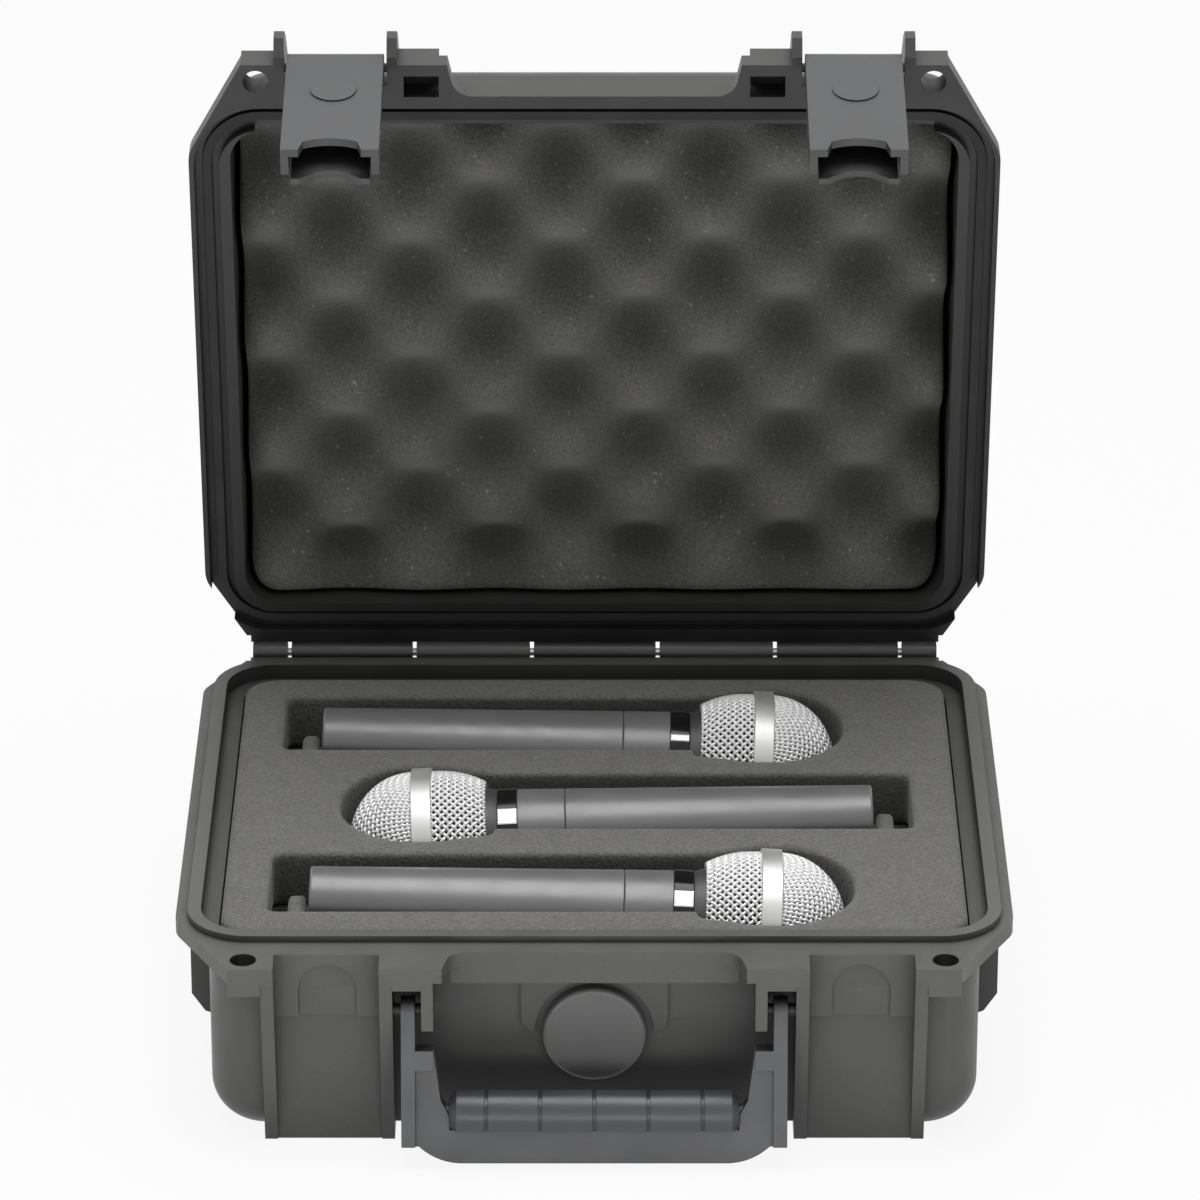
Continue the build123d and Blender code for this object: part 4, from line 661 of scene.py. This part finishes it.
def mic_head(mic):
    ring, band = centre(f"mic_{mic}_ring"), centre(f"mic_{mic}_head_band")
    along, side, up = axis_frame(ring, band)
    body = body_name(f"mic_{mic}_body")

    # rear grille: wires in two slanting families round a cone
    start, end, near, far = turned_reach(f"mic_{mic}_rear_grille", ring, along)
    mean = (near + far) / 2
    around = round(2 * math.pi * mean / (MESH_PITCH * math.sqrt(2)))
    cell = 2 * math.pi / around

    def cone(alpha, beta):
        angle = (alpha + beta) / 2 * cell
        axial = (alpha - beta) / 2 * cell * mean + (start + end) / 2
        if not start - WIRE_OVERRUN <= axial <= end + WIRE_OVERRUN:
            return None
        outward = side * math.cos(angle) + up * math.sin(angle)
        left = min(max((end - axial) / (end - start), 0.0), 1.0)
        radius = far - (far - near) * left ** GRILLE_BULGE - WIRE_RADIUS - WEAVE_DEPTH
        slope = GRILLE_BULGE * (far - near) / (end - start) * left ** (GRILLE_BULGE - 1)
        normal = (outward - along * slope).normalized()
        return ring + along * axial + outward * radius, normal

    verts, faces = [], []
    stops = int(((end - start) / (cell * mean) + 1) * REAR_STOPS)
    for line in range(around):
        local = [line + k / REAR_STOPS for k in range(-stops, stops + 1)]
        woven([line], [], cone, local, verts, faces)
        woven([], [line], cone, local, verts, faces)
    rear = piece(f"mic_{mic}_rear_mesh", verts, faces, MIC_WIRE, body)
    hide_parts(f"mic_{mic}_rear_grille")

    # dark liner behind both meshes, and the flat flange of the rear one
    dome_start, tip, dome_radius, _ = turned_reach(f"mic_{mic}_front_grille", ring, along)
    depth = LINER_DEPTH + WIRE_RADIUS
    liner = [(start + LINER_INSET, LINER_HOLE_RADIUS), (start + LINER_INSET, near - depth),
             (end, far - depth), (dome_start, dome_radius - depth)]
    for k in range(1, LINER_ARC_STEPS + 1):
        angle = math.pi / 2 * k / LINER_ARC_STEPS
        liner.append((dome_start + (tip - dome_start - depth) * math.sin(angle),
                      max((dome_radius - depth) * math.cos(angle), LINER_TIP_RADIUS)))
    verts, faces = lathe(liner, ring, along, side, up, LINER_SEGMENTS)
    piece(f"mic_{mic}_liner", verts, faces, MIC_LINER, body)

    # front grille: a flat mesh pressed into a dome
    long_reach = tip - dome_start - WIRE_RADIUS - WEAVE_DEPTH
    wide_reach = dome_radius - WIRE_RADIUS - WEAVE_DEPTH
    rim_arc = math.pi / 2 * math.sqrt((long_reach ** 2 + wide_reach ** 2) / 2)

    def dome(alpha, beta):
        u, v = alpha * MESH_PITCH, beta * MESH_PITCH
        y = u * math.cos(DOME_TURN) - v * math.sin(DOME_TURN)
        z = u * math.sin(DOME_TURN) + v * math.cos(DOME_TURN)
        spread = math.hypot(y, z)
        if spread > rim_arc:
            return None
        polar = math.pi / 2 * spread / rim_arc
        outward = (side * y + up * z).normalized() if spread else side
        axial, radial = long_reach * math.cos(polar), wide_reach * math.sin(polar)
        normal = outward * (radial / wide_reach ** 2) + along * (axial / long_reach ** 2)
        spot = ring + along * (dome_start + axial) + outward * radial
        return spot, normal.normalized()

    verts, faces = [], []
    count = int(rim_arc / MESH_PITCH)
    for line in range(-count, count + 1):
        half = math.sqrt(max((rim_arc / MESH_PITCH) ** 2 - line * line, 0.0)) * DOME_LINE_SHARE
        stops = int(half * DOME_STOPS)
        local = [half * k / stops for k in range(-stops, stops + 1)] if stops else []
        woven([line], [], dome, local, verts, faces)
        woven([], [line], dome, local, verts, faces)
    front = piece(f"mic_{mic}_front_mesh", verts, faces, MIC_WIRE, body)
    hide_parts(f"mic_{mic}_front_grille")


def painted_ring_highlight(mic):
    """A bright plate let into the ring, on the side that faces up and forward: a painted
    highlight where the key light's reflection falls.
    """
    ring, band = centre(f"mic_{mic}_ring"), centre(f"mic_{mic}_head_band")
    along, _, _ = axis_frame(ring, band)
    start, end, radius, _ = turned_reach(f"mic_{mic}_ring", ring, along)
    facing = Vector((0, -math.cos(HIGHLIGHT_ELEVATION), math.sin(HIGHLIGHT_ELEVATION)))
    facing = (facing - along * facing.dot(along)).normalized()
    across = along.cross(facing).normalized()
    half = PATCH_HEIGHT[mic] / 2 / radius
    rows = PATCH_ROWS
    verts, faces = [], []
    # the plate's edge is slightly raised all round
    places = [start + PATCH_END_GAP, start + PATCH_BORDER, start + 2 * PATCH_BORDER,
              end - 2 * PATCH_BORDER, end - PATCH_BORDER, end - PATCH_END_GAP]
    lifts = [1.0, PATCH_RIM, 1.0, 1.0, PATCH_RIM, 1.0]
    for row in range(rows + 1):
        angle = half * (2 * row / rows - 1)
        outward = facing * math.cos(angle) + across * math.sin(angle)
        rim = PATCH_RIM if row in (1, rows - 1) else 1.0
        for axial, lift in zip(places, lifts):
            top = radius + PATCH_LIFT * max(lift, rim)
            verts.append(ring + along * axial + outward * top)
            verts.append(ring + along * axial + outward * (radius - PATCH_SINK))
    width = 2 * len(places)
    for row in range(rows):
        for k in range(len(places) - 1):
            a = row * width + 2 * k
            faces.append((a, a + width, a + width + 2, a + 2))
            faces.append((a + 1, a + 3, a + width + 3, a + width + 1))
        a, b = row * width, row * width + width - 2
        faces.append((a, a + 1, a + width + 1, a + width))
        faces.append((b, b + width, b + width + 1, b + 1))
    for k in range(len(places) - 1):
        a, b = 2 * k, rows * width + 2 * k
        faces.append((a, a + 2, a + 3, a + 1))
        faces.append((b, b + 1, b + 3, b + 2))
    piece(f"mic_{mic}_painted_ring_highlight", verts, faces, MIC_HIGHLIGHT_PLATE, body_name(f"mic_{mic}_ring"),
          smooth=False)


for mic in MIC_NAMES:
    mic_head(mic)
    # painted highlight on each ring
    painted_ring_highlight(mic)


# ================================================================ stage, light and camera
def seen_from_outside(nodes, links):
    """1 for camera, mirror and glass rays, and 0 for the rays that light the object."""
    path = nodes.new("ShaderNodeLightPath")
    total = path.outputs["Is Camera Ray"]
    for kind in ("Is Glossy Ray", "Is Transmission Ray"):
        either = nodes.new("ShaderNodeMath")
        either.operation = "MAXIMUM"
        links.new(total, either.inputs[0])
        links.new(path.outputs[kind], either.inputs[1])
        total = either.outputs["Value"]
    return total


def floor_material():
    """A pale floor that keeps the object's shadow, lifted towards white where it is seen."""
    material = bpy.data.materials.new("floor_white")
    material.use_nodes = True
    nodes, links = material.node_tree.nodes, material.node_tree.links
    nodes.clear()
    out = nodes.new("ShaderNodeOutputMaterial")
    mix = nodes.new("ShaderNodeMixShader")
    lit = nodes.new("ShaderNodeBsdfDiffuse")
    glow = nodes.new("ShaderNodeEmission")
    share = nodes.new("ShaderNodeMath")
    share.operation = "MULTIPLY"
    share.inputs[1].default_value = FLOOR_GLOW
    lit.inputs["Color"].default_value = (*FLOOR_COLOR, 1)
    links.new(seen_from_outside(nodes, links), share.inputs[0])
    links.new(share.outputs["Value"], mix.inputs["Fac"])
    links.new(lit.outputs["BSDF"], mix.inputs[1])
    links.new(glow.outputs["Emission"], mix.inputs[2])
    links.new(mix.outputs["Shader"], out.inputs["Surface"])
    return material


def studio_world():
    """Soft light from all round, behind which the background is plain white."""
    world = bpy.data.worlds.new("studio")
    world.use_nodes = True
    nodes, links = world.node_tree.nodes, world.node_tree.links
    nodes.clear()
    out = nodes.new("ShaderNodeOutputWorld")
    mix = nodes.new("ShaderNodeMixShader")
    lit = nodes.new("ShaderNodeBackground")
    seen = nodes.new("ShaderNodeBackground")
    lit.inputs["Color"].default_value = (1, 1, 1, 1)
    lit.inputs["Strength"].default_value = WORLD_LIGHT
    seen.inputs["Color"].default_value = (1, 1, 1, 1)
    links.new(seen_from_outside(nodes, links), mix.inputs["Fac"])
    links.new(lit.outputs["Background"], mix.inputs[1])
    links.new(seen.outputs["Background"], mix.inputs[2])
    links.new(mix.outputs["Shader"], out.inputs["Surface"])
    return world


bpy.ops.mesh.primitive_plane_add(
    size=FLOOR_SIZE, location=(0, FLOOR_BACK, CAD_BOX[0][2] - FLOOR_DROP)
)
floor = bpy.context.object
floor.name = "floor"
floor.data.materials.append(floor_material())

scene = bpy.context.scene
scene.world = studio_world()


def area_light(name, place, aim, size, energy):
    data = bpy.data.lights.new(name, "AREA")
    data.shape = "RECTANGLE"
    data.size, data.size_y = size
    data.energy = energy
    lamp = bpy.data.objects.new(name, data)
    lamp.location = place
    lamp.rotation_euler = (Vector(aim) - Vector(place)).to_track_quat("-Z", "Y").to_euler()
    scene.collection.objects.link(lamp)


area_light("key", KEY_PLACE, KEY_AIM, KEY_SIZE, KEY_ENERGY)
area_light("fill", FILL_PLACE, FILL_AIM, FILL_SIZE, FILL_ENERGY)
area_light("card", CARD_PLACE, CARD_AIM, CARD_SIZE, CARD_ENERGY)

camera_data = bpy.data.cameras.new("camera")
camera_data.lens = CAMERA_LENS
camera_data.sensor_width = CAMERA_SENSOR
camera = bpy.data.objects.new("camera", camera_data)
camera.location = CAMERA_PLACE
camera.rotation_euler = (math.radians(90 - CAMERA_PITCH), 0, 0)
scene.collection.objects.link(camera)
scene.camera = camera
scene.view_settings.view_transform = "Standard"
